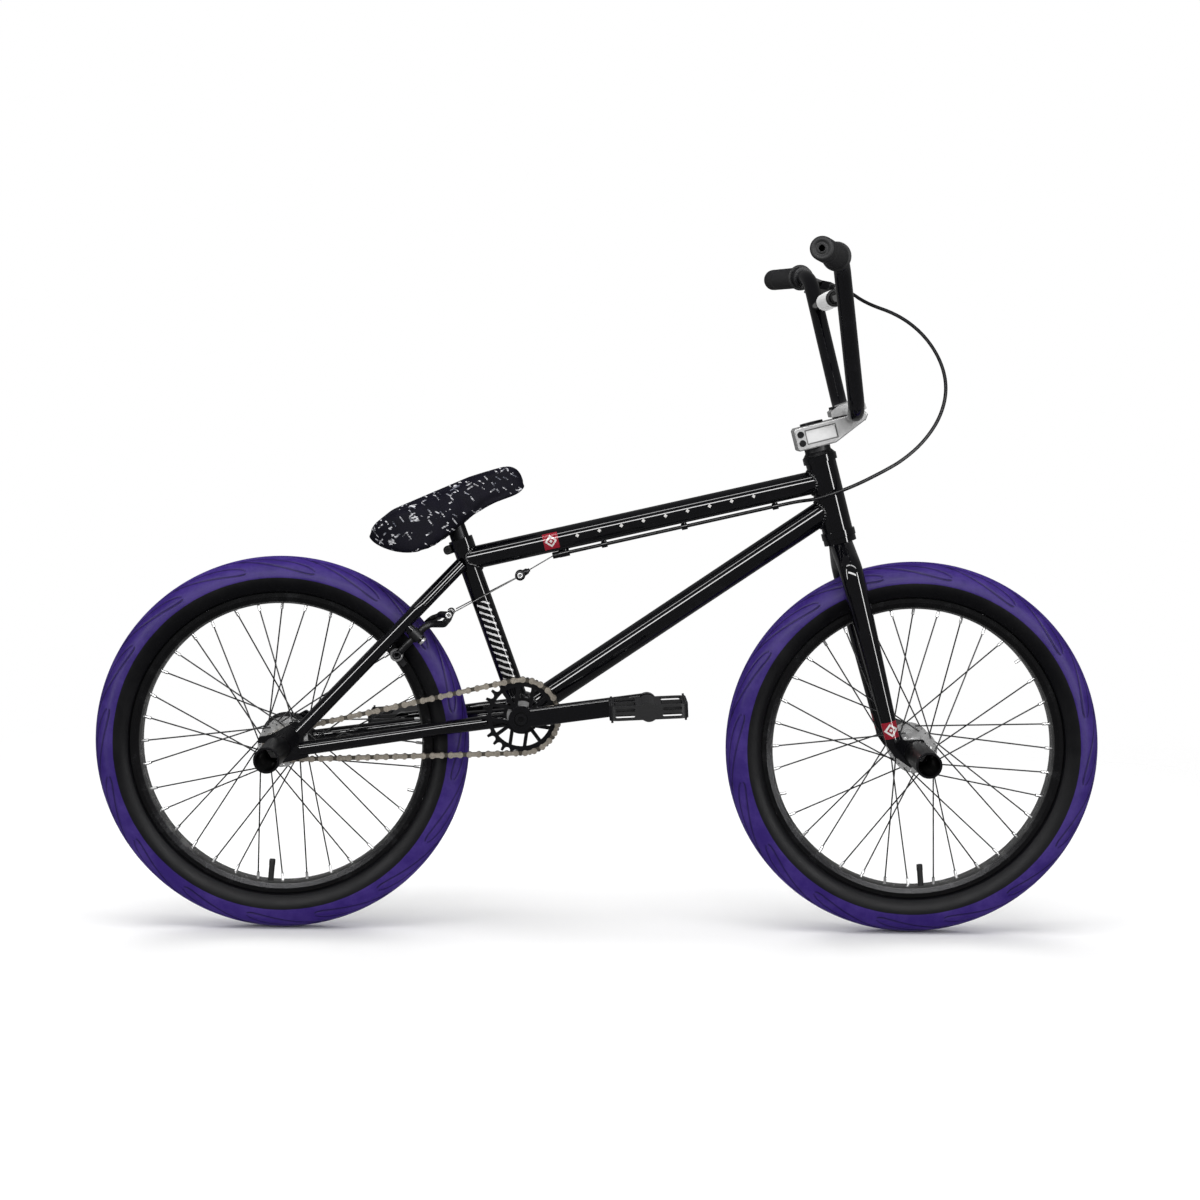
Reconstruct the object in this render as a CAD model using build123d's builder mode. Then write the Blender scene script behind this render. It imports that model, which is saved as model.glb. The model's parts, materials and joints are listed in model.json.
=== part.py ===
# A freestyle BMX bicycle: 20-inch wheels, four pegs, high bars and one rear brake
# Millimetres and degrees. +X is forwards, +Y is the rider's left, +Z is up.
# The origin is on the ground, midway between the hubs, in the bicycle's middle plane.
from build123d import *
from math import asin, atan2, cos, degrees, pi, radians, sin, sqrt, tan
import os

os.makedirs("parts", exist_ok=True)

# Driving dimensions: wheels and layout
front_centre = 541.3  # forwards distance from the bottom bracket to the front hub
bb_rise = 44.4  # bottom bracket above the hubs' height
tyre_outer = 259.0  # rolling radius
tyre_section = 28.0  # radius of the tyre's round section
tyre_wall = 3.5
rim_outer = 209.0
rim_inner = 194.0
rim_half = 15.5
spoke_count = 36
spoke_radius = 1.0
nipple_radius = 2.0
nipple_length = 12.0
valve_radius = 4.0
valve_length = 28.0
valve_angles = {"front": -85.0, "rear": -95.0}  # midway between two spokes

# Drive train
chain_pitch = 12.7
chain_links = 70
sprocket_teeth = 25
driver_teeth = 9
chain_line = 44.0  # distance of the chain from the middle plane, on the right
roller_radius = 3.85
tooth_thickness = 2.9
crank_length = 172.0
crank_angle = 8.0  # right arm above the horizontal, pointing forwards
crank_arm_height = 26.0
crank_arm_inner = 62.0
crank_arm_outer = 76.0
spindle_radius = 9.5
pedal_offset = 130.0
pedal_length = 104.0
pedal_width = 94.0
pedal_height = 19.0
pedal_tilt = 3.0
pedal_pin_radius = 5.0

# Frame tubes
head_angle = 75.2
seat_angle = 70.0
fork_offset = 28.0
head_tube_bottom = 309.4  # along the steering axis, from the foot of the front hub
head_tube_length = 116.0
head_tube_radius = 21.0
head_lip_radius = 23.5
head_lip_height = 9.0
top_tube_radius = 15.9
top_tube_below_head_top = 34.7
top_tube_on_seat_tube = 225.5
down_tube_radius = 17.0
down_tube_above_head_bottom = 43.7
seat_tube_wall = 1.55
seat_tube_length = 254.0
clamp_height = 15.0
clamp_lip = 1.5  # of the clamp above the seat tube's end
clamp_wall = 2.7
tube_wall = 1.4
chainstay_radius = 9.5
seatstay_radius = 9.25
bb_shell_radius = 25.4
bb_shell_half = 36.5
bb_bearing_radius = 20.6
bb_bearing_width = 9.0

# Rear end
rear_hub_half = 55.0  # from the middle plane to the dropout's inner face
front_hub_half = 50.0
dropout_thickness = 8.0
rear_axle_radius = 7.0
front_axle_radius = 4.75
peg_radius = 17.5
peg_wall = 3.0
peg_length = 112.0
peg_end_wall = 6.0
nut_height = 9.0

# Fork, stem and bars
steerer_radius = 14.3
steerer_bore = 11.4
leg_wall = 1.6
leg_top_radius = 16.0
leg_bottom_radius = 10.0
stem_reach = 54.0
stem_half_width = 25.0
stem_bottom = 437.6  # along the steering axis
stem_height = 31.8
bar_radius = 11.1
bar_wall = 1.6
bar_seat_height = 33.5  # bar centre above the underside of the stem
crossbar_radius = 8.0
crossbar_height = 154.0
grip_radius = 15.5
grip_flange_radius = 19.0
grip_length = 123.0
lever_clamp_width = 12.0

# Seat
post_radius = 12.7
post_length = 150.0
saddle_tilt = 23.7
saddle_half_width = 68.0
saddle_forward = -8.35  # middle of the saddle's top from the post's head
saddle_rise = 35.1
saddle_recess_rise = 5.0  # roof of the recess above the post's head, so the saddle can tip

# Brake
housing_radius = 2.5
wire_radius = 0.8
cable_drop = 20.8  # cable centre below the top tube's axis
pad_gap = 1.8
yoke_behind_stop = 45.7
yoke_below_stop = 27.5

# Clearances
running = 0.05  # radial clearance of a shaft in its own bearing
apart = 0.4  # between faces that move past each other


# Derived layout
seat_tube_radius = post_radius + running + seat_tube_wall
sprocket_pitch_radius = chain_pitch / (2 * sin(pi / sprocket_teeth))
driver_pitch_radius = chain_pitch / (2 * sin(pi / driver_teeth))
centre_distance = chain_links * chain_pitch / 2
for _ in range(30):
    wrap_angle = asin((sprocket_pitch_radius - driver_pitch_radius) / centre_distance)
    wrapped = sprocket_teeth * (0.5 + wrap_angle / pi) + driver_teeth * (0.5 - wrap_angle / pi)
    centre_distance = chain_pitch * (chain_links - wrapped) / (2 * cos(wrap_angle))
rear_centre = sqrt(centre_distance**2 - bb_rise**2)
wheelbase = rear_centre + front_centre
rear_x = -wheelbase / 2
front_x = wheelbase / 2
bb_x = rear_x + rear_centre
bb_z = tyre_outer + bb_rise
drive_angle = atan2(bb_rise, rear_centre)
steer_up = (-cos(radians(head_angle)), 0, sin(radians(head_angle)))
steer_forward = (sin(radians(head_angle)), 0, cos(radians(head_angle)))
foot = (front_x - fork_offset * steer_forward[0], 0, tyre_outer - fork_offset * steer_forward[2])
head_tube_top = head_tube_bottom + head_tube_length
steering_plane = Plane(origin=foot, x_dir=steer_forward, z_dir=(0, -1, 0))


def steering_point(along, forward=0.0, side=0.0):
    return (
        foot[0] + along * steer_up[0] + forward * steer_forward[0],
        side,
        foot[2] + along * steer_up[2] + forward * steer_forward[2],
    )


def seat_tube_point(along):
    return (bb_x - along * cos(radians(seat_angle)), 0, bb_z + along * sin(radians(seat_angle)))


def between(start, end, fraction):
    return tuple(a + (b - a) * fraction for a, b in zip(start, end))


def rod(start, end, radius, mode=Mode.ADD):
    span = Vector(*end) - Vector(*start)
    with Locations(Plane(origin=start, z_dir=span)):
        Cylinder(radius, span.length, align=(Align.CENTER, Align.CENTER, Align.MIN), mode=mode)


def taper(start, end, start_radius, end_radius, mode=Mode.ADD):
    span = Vector(*end) - Vector(*start)
    with Locations(Plane(origin=start, z_dir=span)):
        Cone(
            start_radius, end_radius, span.length,
            align=(Align.CENTER, Align.CENTER, Align.MIN), mode=mode,
        )


def tube(start, end, radius, wall):
    rod(start, end, radius)
    rod(start, end, radius - wall, mode=Mode.SUBTRACT)


def cross_rod(x, z, y_from, y_to, radius, mode=Mode.ADD):
    rod((x, y_from, z), (x, y_to, z), radius, mode=mode)


def swept(points, radii, radius, bore=0.0):
    with BuildLine() as path:
        FilletPolyline(*points, radius=radii)
    route = path.wires()[0]
    with BuildSketch(Plane(origin=route @ 0, z_dir=route % 0)) as section:
        Circle(radius)
        if bore:
            Circle(bore, mode=Mode.SUBTRACT)
    sweep(section.sketch, path=route)
    return route.length


def widest_arcs(points, share=0.45):
    radii = []
    for before, corner, after in zip(points, points[1:], points[2:]):
        run_in = Vector(*corner) - Vector(*before)
        run_out = Vector(*after) - Vector(*corner)
        turn = radians(run_in.get_angle(run_out))
        radii.append(share * min(run_in.length, run_out.length) / tan(turn / 2))
    return radii


def save(piece, name):
    piece.part.label = name
    export_step(piece.part, f"parts/{name}.step")


# Head tube with its bearing seats
with BuildPart() as head_tube:
    rod(steering_point(head_tube_bottom), steering_point(head_tube_top), head_tube_radius)
    for low in (head_tube_bottom, head_tube_top - head_lip_height):
        rod(steering_point(low), steering_point(low + head_lip_height), head_lip_radius)
    rod(
        steering_point(head_tube_bottom), steering_point(head_tube_top),
        steerer_radius + 3.0, mode=Mode.SUBTRACT,
    )
    for low in (head_tube_bottom, head_tube_top - 7.5):
        rod(
            steering_point(low), steering_point(low + 7.5),
            head_tube_radius - 0.2, mode=Mode.SUBTRACT,
        )
save(head_tube, "head_tube")

with BuildPart() as headset_bearings:
    for low in (head_tube_bottom, head_tube_top - 7.5):
        rod(steering_point(low), steering_point(low + 7.5), head_tube_radius - 0.2)
        rod(
            steering_point(low), steering_point(low + 7.5),
            steerer_radius + running, mode=Mode.SUBTRACT,
        )
save(headset_bearings, "headset_bearings")

# Bottom bracket shell and its two bearings
with BuildPart() as bb_shell:
    cross_rod(bb_x, bb_z, -bb_shell_half, bb_shell_half, bb_shell_radius)
    cross_rod(bb_x, bb_z, -bb_shell_half, bb_shell_half, bb_bearing_radius, mode=Mode.SUBTRACT)
save(bb_shell, "bb_shell")

with BuildPart() as bb_bearings:
    for side in (-1, 1):
        inner = side * (bb_shell_half - bb_bearing_width)
        cross_rod(bb_x, bb_z, inner, side * bb_shell_half, bb_bearing_radius)
    cross_rod(
        bb_x, bb_z, -bb_shell_half, bb_shell_half, spindle_radius + running, mode=Mode.SUBTRACT
    )
save(bb_bearings, "bb_bearings")

# Main tubes, each coped to the tube that it meets
seat_tube_top = seat_tube_point(seat_tube_length)
with BuildPart() as seat_tube:
    rod((bb_x, 0, bb_z), seat_tube_top, seat_tube_radius)
    rod((bb_x, 0, bb_z), seat_tube_top, post_radius + running, mode=Mode.SUBTRACT)
    cross_rod(bb_x, bb_z, -bb_shell_half, bb_shell_half, bb_shell_radius, mode=Mode.SUBTRACT)
save(seat_tube, "seat_tube")

top_tube_front = steering_point(head_tube_top - top_tube_below_head_top)
top_tube_rear = seat_tube_point(top_tube_on_seat_tube)
with BuildPart() as top_tube:
    tube(top_tube_rear, top_tube_front, top_tube_radius, tube_wall)
    rod((bb_x, 0, bb_z), seat_tube_top, seat_tube_radius, mode=Mode.SUBTRACT)
    rod(
        steering_point(head_tube_bottom), steering_point(head_tube_top),
        head_tube_radius, mode=Mode.SUBTRACT,
    )
save(top_tube, "top_tube")

down_tube_front = steering_point(head_tube_bottom + down_tube_above_head_bottom)
with BuildPart() as down_tube:
    tube((bb_x, 0, bb_z), down_tube_front, down_tube_radius, tube_wall)
    rod((bb_x, 0, bb_z), seat_tube_top, seat_tube_radius, mode=Mode.SUBTRACT)
    cross_rod(bb_x, bb_z, -bb_shell_half, bb_shell_half, bb_shell_radius, mode=Mode.SUBTRACT)
    rod(
        steering_point(head_tube_bottom), steering_point(head_tube_top),
        head_tube_radius, mode=Mode.SUBTRACT,
    )
    rod(top_tube_rear, top_tube_front, top_tube_radius, mode=Mode.SUBTRACT)
save(down_tube, "down_tube")

# Dropouts: plates that take the rear axle in slots open to the back
dropout_middle = rear_hub_half + dropout_thickness / 2
with BuildPart() as dropouts:
    for side in (-1, 1):
        with BuildSketch(Plane.XZ.offset(-side * rear_hub_half)):
            with BuildLine():
                Polyline(
                    (rear_x - 26, tyre_outer - 15), (rear_x - 26, tyre_outer + 15),
                    (rear_x - 8, tyre_outer + 19), (rear_x + 26, tyre_outer + 38),
                    (rear_x + 40, tyre_outer + 25), (rear_x + 34, tyre_outer + 12),
                    (rear_x + 42, tyre_outer + 6), (rear_x + 42, tyre_outer - 12),
                    (rear_x + 8, tyre_outer - 20), close=True,
                )
            make_face()
        extrude(amount=-side * dropout_thickness)
    fillet(dropouts.edges().filter_by(Axis.Y), radius=4)
    with Locations((rear_x - 20, 0, tyre_outer)):
        Box(40, 2 * rear_hub_half + 40, 2 * rear_axle_radius, mode=Mode.SUBTRACT)
    cross_rod(rear_x, tyre_outer, -80, 80, rear_axle_radius, mode=Mode.SUBTRACT)
save(dropouts, "dropouts")

# Chainstays: bent inwards between the wheel and the sprocket
chainstay_rear = (rear_x + 30, dropout_middle, tyre_outer - 1)
chainstay_bend = (rear_x + 236, 40.5, bb_z - 16)
chainstay_front = (bb_x - 10, 25.0, bb_z - 6)
with BuildPart() as chainstays:
    for side in (-1, 1):
        route = [(x, side * y, z) for x, y, z in (chainstay_rear, chainstay_bend, chainstay_front)]
        swept(route, [60.0], chainstay_radius, chainstay_radius - tube_wall)
    cross_rod(bb_x, bb_z, -bb_shell_half, bb_shell_half, bb_shell_radius, mode=Mode.SUBTRACT)
    add(dropouts.part, mode=Mode.SUBTRACT)
save(chainstays, "chainstays")

# Seatstays: straight past the tyre, then inwards to the seat tube
seatstay_low = (rear_x + 28.5, dropout_middle, tyre_outer + 21)
seatstay_bend = (rear_x + 191.5, 38.5, tyre_outer + 192)
seatstay_high = (rear_x + 247, 14.0, tyre_outer + 250)
stay_span = Vector(*seatstay_bend) - Vector(*seatstay_low)
stay_up = Vector(stay_span.X, 0, stay_span.Z).normalized()
stay_out = Vector(stay_up.Z, 0, -stay_up.X)
with BuildPart() as seatstays:
    for side in (-1, 1):
        route = [(x, side * y, z) for x, y, z in (seatstay_low, seatstay_bend, seatstay_high)]
        swept(route, [50.0], seatstay_radius, seatstay_radius - tube_wall)
    rod((bb_x, 0, bb_z), seat_tube_top, seat_tube_radius, mode=Mode.SUBTRACT)
    rod(top_tube_rear, top_tube_front, top_tube_radius, mode=Mode.SUBTRACT)
    add(dropouts.part, mode=Mode.SUBTRACT)
save(seatstays, "seatstays")

# Seat clamp: a collar over the tube's end with two ears behind, and its bolt
clamp_low = seat_tube_point(seat_tube_length + clamp_lip - clamp_height)
clamp_high = seat_tube_point(seat_tube_length + clamp_lip)
behind_tube = Vector(-sin(radians(seat_angle)), 0, -cos(radians(seat_angle)))
clamp_bolt_reach = seat_tube_radius + clamp_wall + 4.0
clamp_bolt_centre = Vector(*between(clamp_low, clamp_high, 0.4)) + behind_tube * clamp_bolt_reach
with BuildPart() as seat_clamp:
    rod(clamp_low, clamp_high, seat_tube_radius + clamp_wall)
    with BuildSketch(
        Plane(origin=tuple(clamp_bolt_centre), x_dir=tuple(behind_tube), z_dir=(0, 1, 0))
    ):
        with Locations((-clamp_bolt_reach / 2 + 6, 0)):
            RectangleRounded(clamp_bolt_reach, 12, 5)
    extrude(amount=7, both=True)
    rod(seat_tube_point(0), seat_tube_point(seat_tube_length), seat_tube_radius, mode=Mode.SUBTRACT)
    rod(
        seat_tube_point(0), seat_tube_point(seat_tube_length + post_length),
        post_radius + running, mode=Mode.SUBTRACT,
    )
    rod(top_tube_rear, top_tube_front, top_tube_radius, mode=Mode.SUBTRACT)
    with Locations(
        Plane(origin=tuple(clamp_bolt_centre), x_dir=tuple(behind_tube), z_dir=(0, 1, 0))
    ):
        Box(clamp_bolt_reach * 1.6, 2 * clamp_height, 1.6, mode=Mode.SUBTRACT)
    cross_rod(clamp_bolt_centre.X, clamp_bolt_centre.Z, -20, 20, 3.0, mode=Mode.SUBTRACT)
save(seat_clamp, "seat_clamp")

with BuildPart() as seat_clamp_bolt:
    cross_rod(clamp_bolt_centre.X, clamp_bolt_centre.Z, -12, 7, 3.0)
    cross_rod(clamp_bolt_centre.X, clamp_bolt_centre.Z, -12, -7, 5.0)
    cross_rod(clamp_bolt_centre.X, clamp_bolt_centre.Z, 7, 11, 5.0)
    cross_rod(clamp_bolt_centre.X, clamp_bolt_centre.Z, -12, -9, 2.5, mode=Mode.SUBTRACT)
save(seat_clamp_bolt, "seat_clamp_bolt")


# Axles, nuts and pegs, which repeat at both ends
def axle_set(x, half, radius):
    reach = half + dropout_thickness + peg_end_wall + nut_height + 3
    with BuildPart() as axle:
        cross_rod(x, tyre_outer, -reach, reach, radius)
        for side in (-1, 1):
            cross_rod(x, tyre_outer, side * (half - 5.5), side * half, radius + 4.5)
    with BuildPart() as nuts:
        for side in (-1, 1):
            seat = half + dropout_thickness + peg_end_wall
            with BuildSketch(Plane.XZ.offset(-side * seat)):
                with Locations((x, tyre_outer)):
                    RegularPolygon(radius + 5.5, 6)
                    Circle(radius, mode=Mode.SUBTRACT)
            extrude(amount=-side * nut_height)
    with BuildPart() as pegs:
        for side in (-1, 1):
            near = half + dropout_thickness
            far = near + peg_length
            cross_rod(x, tyre_outer, side * near, side * far, peg_radius)
            cross_rod(
                x, tyre_outer, side * (near + peg_end_wall), side * far,
                peg_radius - peg_wall, mode=Mode.SUBTRACT,
            )
            cross_rod(x, tyre_outer, side * near, side * far, radius, mode=Mode.SUBTRACT)
        ends = pegs.edges().filter_by(GeomType.CIRCLE).group_by(SortBy.RADIUS)[-1]
        chamfer(ends, length=1.2)
    return axle, nuts, pegs


rear_axle, rear_axle_nuts, rear_pegs = axle_set(rear_x, rear_hub_half, rear_axle_radius)
save(rear_axle, "rear_axle")
save(rear_axle_nuts, "rear_axle_nuts")
save(rear_pegs, "rear_pegs")
front_axle, front_axle_nuts, front_pegs = axle_set(front_x, front_hub_half, front_axle_radius)
save(front_axle, "front_axle")
save(front_axle_nuts, "front_axle_nuts")
save(front_pegs, "front_pegs")


# Wheels: the rim, tyre and inner tube are the same at both ends
def wheel_plane(x):
    return Plane(origin=(x, 0, tyre_outer), x_dir=(0, 0, 1), z_dir=(-1, 0, 0))


def wheel_axis(x):
    return Axis((x, 0, tyre_outer), (0, 1, 0))


def wheel_point(x, radius, angle, y):
    return (x + radius * cos(radians(angle)), y, tyre_outer + radius * sin(radians(angle)))


section_centre = tyre_outer - tyre_section
rim_floor = rim_outer - 9
rim_hook_inner = rim_half - 2.3


def make_rim(x, valve_angle):
    with BuildPart() as rim:
        with BuildSketch(wheel_plane(x)):
            with BuildLine():
                Polyline(
                    (rim_inner, 0), (rim_inner, rim_half - 6), (rim_inner + 2.5, rim_half - 2),
                    (rim_outer - 6, rim_half), (rim_outer, rim_half),
                    (rim_outer, rim_hook_inner), (rim_floor + 2, rim_hook_inner),
                    (rim_floor, rim_hook_inner - 4), (rim_floor - 1.5, 0), close=True,
                )
            make_face()
            mirror(about=Plane.XZ)
        revolve(axis=wheel_axis(x))
        rod(
            wheel_point(x, rim_inner - 5, valve_angle, 0),
            wheel_point(x, rim_floor + 5, valve_angle, 0),
            valve_radius + apart / 2, mode=Mode.SUBTRACT,
        )
    return rim


def make_tyre(x):
    with BuildPart() as tyre:
        with BuildSketch(wheel_plane(x)):
            with Locations((section_centre, 0)):
                Circle(tyre_section)
                Circle(tyre_section - tyre_wall, mode=Mode.SUBTRACT)
            with Locations((rim_outer + 0.3, 0)):
                Rectangle(
                    tyre_section * 2, tyre_section * 2,
                    align=(Align.MAX, Align.CENTER), mode=Mode.SUBTRACT,
                )
            for side in (-1, 1):
                with Locations((rim_floor + 3, side * (rim_hook_inner - 1.8))):
                    Rectangle(rim_outer - rim_floor - 1.5, 2.6, align=(Align.MIN, Align.CENTER))
        revolve(axis=wheel_axis(x))
    return tyre


def make_inner_tube(x, valve_angle):
    with BuildPart() as inner_tube:
        with BuildSketch(wheel_plane(x)):
            with Locations((section_centre + 1, 0)):
                Circle(tyre_section - tyre_wall - 1.5)
                Circle(tyre_section - tyre_wall - 3.0, mode=Mode.SUBTRACT)
        revolve(axis=wheel_axis(x))
        tube_floor = section_centre + 1 - (tyre_section - tyre_wall - 2.0)
        rod(
            wheel_point(x, rim_inner - valve_length, valve_angle, 0),
            wheel_point(x, tube_floor, valve_angle, 0), valve_radius,
        )
    return inner_tube


def flange_angles(side, lead):
    step = 720.0 / spoke_count
    start = step / 2 if side > 0 else 0.0
    return [start + (2 * k + lead) * step for k in range(spoke_count // 4)]


flange_circle = 28.0
flange_radius = 31.0
flange_half_thickness = 1.25
spoke_stand_off = 3.0
spoke_rim_offset = 3.0
spoke_rim_radius = rim_inner + 3
crossings_turn = 3 * 720.0 / spoke_count


def spoke_ends(x, flanges):
    ends = []
    for side, flange_y in zip((-1, 1), flanges):
        for lead, turn in ((0, 1), (1, -1)):
            outside = flange_y + side * spoke_stand_off * turn
            for angle in flange_angles(side, lead):
                start = wheel_point(x, flange_circle, angle, outside)
                end = wheel_point(
                    x, spoke_rim_radius, angle + turn * crossings_turn, side * spoke_rim_offset
                )
                hole = wheel_point(
                    x, flange_circle, angle, flange_y - side * flange_half_thickness * turn
                )
                ends.append((hole, start, end))
    return ends


def make_spokes(x, flanges):
    with BuildPart() as spokes:
        for hole, start, end in spoke_ends(x, flanges):
            length = (Vector(*end) - Vector(*start)).length
            rod(start, end, spoke_radius)
            rod(hole, between(hole, start, 1.0), spoke_radius)
            with Locations(start):
                Sphere(spoke_radius)
            rod(between(end, start, nipple_length / length), end, nipple_radius)
    return spokes


def make_hub(x, flanges, body_radius, ends, axle_radius):
    with BuildPart() as hub:
        cross_rod(x, tyre_outer, flanges[0], flanges[1], body_radius)
        for flange_y, end in zip(flanges, ends):
            cross_rod(x, tyre_outer, flange_y, end, body_radius + 4)
            low = flange_y - flange_half_thickness
            cross_rod(x, tyre_outer, low, low + 2 * flange_half_thickness, flange_radius)
        cross_rod(x, tyre_outer, ends[0], ends[1], axle_radius + running, mode=Mode.SUBTRACT)
        for hole, start, end in spoke_ends(x, flanges):
            inner = between(start, hole, 1.5)
            rod(start, inner, spoke_radius, mode=Mode.SUBTRACT)
        for flange_y in flanges:
            for k in range(6):
                centre = wheel_point(x, (flange_circle + body_radius) / 2 + 1, 60 * k + 10, flange_y)
                cross_rod(
                    centre[0], centre[2], flange_y - 3, flange_y + 3, 3.0, mode=Mode.SUBTRACT
                )
    return hub


front_flanges = (-31.0, 31.0)
rear_flanges = (-27.0, 34.0)
front_hub = make_hub(
    front_x, front_flanges, 12.0,
    (-front_hub_half + 6, front_hub_half - 6), front_axle_radius,
)
save(front_hub, "front_hub")
rear_hub = make_hub(
    rear_x, rear_flanges, 14.0,
    (-chain_line + 7, rear_hub_half - 12), rear_axle_radius,
)
save(rear_hub, "rear_hub")
for end_name, x, flanges in (("front", front_x, front_flanges), ("rear", rear_x, rear_flanges)):
    save(make_rim(x, valve_angles[end_name]), f"{end_name}_rim")
    save(make_tyre(x), f"{end_name}_tyre")
    save(make_inner_tube(x, valve_angles[end_name]), f"{end_name}_inner_tube")
    save(make_spokes(x, flanges), f"{end_name}_spokes")

# Hub guard: a fixed disc outside the rear hub's left flange
with BuildPart() as hub_guard:
    cross_rod(rear_x, tyre_outer, rear_hub_half - 11.5, rear_hub_half - 5.5, 18.0)
    cross_rod(rear_x, tyre_outer, rear_hub_half - 10.5, rear_hub_half - 7.8, 36.0)
    cross_rod(rear_x, tyre_outer, 0, rear_hub_half, rear_axle_radius, mode=Mode.SUBTRACT)
save(hub_guard, "hub_guard")


# Toothed wheels: roller seats cut on the pitch circle, opening outwards
def toothed_disc(x, z, teeth, pitch_radius, phase, tip, opening):
    with BuildSketch(Plane.XZ.offset(chain_line - tooth_thickness / 2)) as disc:
        with Locations((x, z)):
            Circle(pitch_radius + tip)
        for k in range(teeth):
            angle = phase + 360 * k / teeth
            seat = (x + pitch_radius * cos(radians(angle)), z + pitch_radius * sin(radians(angle)))
            with Locations(Location((seat[0], seat[1], 0), (0, 0, angle))):
                Circle(roller_radius + 0.3, mode=Mode.SUBTRACT)
                with Locations((tip, 0)):
                    Trapezoid(opening, 2 * tip, 73, rotation=90, mode=Mode.SUBTRACT)
    extrude(disc.sketch, amount=tooth_thickness)


run_pitches = centre_distance * cos(wrap_angle) / chain_pitch
sprocket_pitches = sprocket_teeth * (0.5 + wrap_angle / pi)
driver_pitches = driver_teeth * (0.5 - wrap_angle / pi)
upper_normal = drive_angle + pi / 2 + wrap_angle
lower_normal = drive_angle - pi / 2 - wrap_angle
sprocket_phase = degrees(upper_normal)
driver_phase = degrees(lower_normal) + (sprocket_pitches + run_pitches) * 360 / driver_teeth


def on_circle(centre, radius, angle):
    return (centre[0] + radius * cos(angle), centre[1] + radius * sin(angle))


def chain_pin(count):
    """Where pin number count lies, in X and Z, counted round the chain from the sprocket's top."""
    bb = (bb_x, bb_z)
    hub = (rear_x, tyre_outer)
    if count <= sprocket_pitches:
        return on_circle(bb, sprocket_pitch_radius, upper_normal - count * 2 * pi / sprocket_teeth)
    count -= sprocket_pitches
    if count <= run_pitches:
        start = on_circle(bb, sprocket_pitch_radius, lower_normal)
        end = on_circle(hub, driver_pitch_radius, lower_normal)
        return between(start, end, count / run_pitches)
    count -= run_pitches
    if count <= driver_pitches:
        return on_circle(hub, driver_pitch_radius, lower_normal - count * 2 * pi / driver_teeth)
    count -= driver_pitches
    start = on_circle(hub, driver_pitch_radius, upper_normal)
    end = on_circle(bb, sprocket_pitch_radius, upper_normal)
    return between(start, end, count / run_pitches)


# Sprocket: four square windows between pairs of arms, with a diagonal arm between the pairs
window_arm_offset = 10.0
arm_width = 5.0
ring_inner = sprocket_pitch_radius - 9.5
with BuildPart() as sprocket:
    toothed_disc(bb_x, bb_z, sprocket_teeth, sprocket_pitch_radius, sprocket_phase, 3.6, 12.8)
    cross_rod(bb_x, bb_z, -chain_line - 3, -chain_line + 3, ring_inner, mode=Mode.SUBTRACT)
    with BuildSketch(Plane.XZ.offset(chain_line - tooth_thickness / 2)):
        for quarter in range(4):
            turn = crank_angle - 16 + 90 * quarter
            with Locations(Location((bb_x, bb_z, 0), (0, 0, turn))):
                for offset in (-window_arm_offset, window_arm_offset):
                    with Locations((0, offset)):
                        Rectangle(ring_inner + 1, arm_width, align=(Align.MIN, Align.CENTER))
            with Locations(Location((bb_x, bb_z, 0), (0, 0, turn + 45))):
                Rectangle(ring_inner + 1, arm_width, align=(Align.MIN, Align.CENTER))
    extrude(amount=tooth_thickness)
    cross_rod(bb_x, bb_z, -52, -40, 16.0)
    cross_rod(bb_x, bb_z, -60, -30, spindle_radius, mode=Mode.SUBTRACT)
save(sprocket, "sprocket")

with BuildPart() as driver_cog:
    toothed_disc(rear_x, tyre_outer, driver_teeth, driver_pitch_radius, driver_phase, 2.6, 14.8)
    cross_rod(rear_x, tyre_outer, -chain_line - 4.6, -chain_line + 6.6, 13.0)
    cross_rod(rear_x, tyre_outer, -60, -30, rear_axle_radius + running, mode=Mode.SUBTRACT)
save(driver_cog, "driver_cog")


# Chain: roller links and pin links in turn, in mesh with both toothed wheels
def link_plates(near, far):
    for side in (-1, 1):
        with BuildSketch(Plane.XZ.offset(side * near)) as plate:
            for x in (0, chain_pitch):
                with Locations((x, 0)):
                    Circle(4.1)
            with Locations((chain_pitch / 2, 0)):
                Rectangle(chain_pitch, 5.4)
        extrude(plate.sketch, amount=side * (far - near))


with BuildPart() as roller_link:
    link_plates(1.75, 2.8)
    for x in (0, chain_pitch):
        cross_rod(x, 0, -1.75, 1.75, roller_radius)
        cross_rod(x, 0, -4, 4, 1.9, mode=Mode.SUBTRACT)

with BuildPart() as pin_link:
    link_plates(2.95, 4.0)
    for x in (0, chain_pitch):
        cross_rod(x, 0, -4.1, 4.1, 1.8)

with BuildPart() as chain:
    for k in range(chain_links):
        here = chain_pin(k)
        there = chain_pin((k + 1) % chain_links)
        lean = degrees(atan2(there[1] - here[1], there[0] - here[0]))
        link = roller_link if k % 2 else pin_link
        with Locations(Location((here[0], -chain_line, here[1]), (0, -lean, 0))):
            add(link.part)
save(chain, "chain")

# Cranks
crank_boss_radius = 17.0
pedal_boss_radius = 13.5
crank_reach = {
    -1: (crank_length * cos(radians(crank_angle)), crank_length * sin(radians(crank_angle))),
    1: (-crank_length * cos(radians(crank_angle)), -crank_length * sin(radians(crank_angle))),
}


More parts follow.
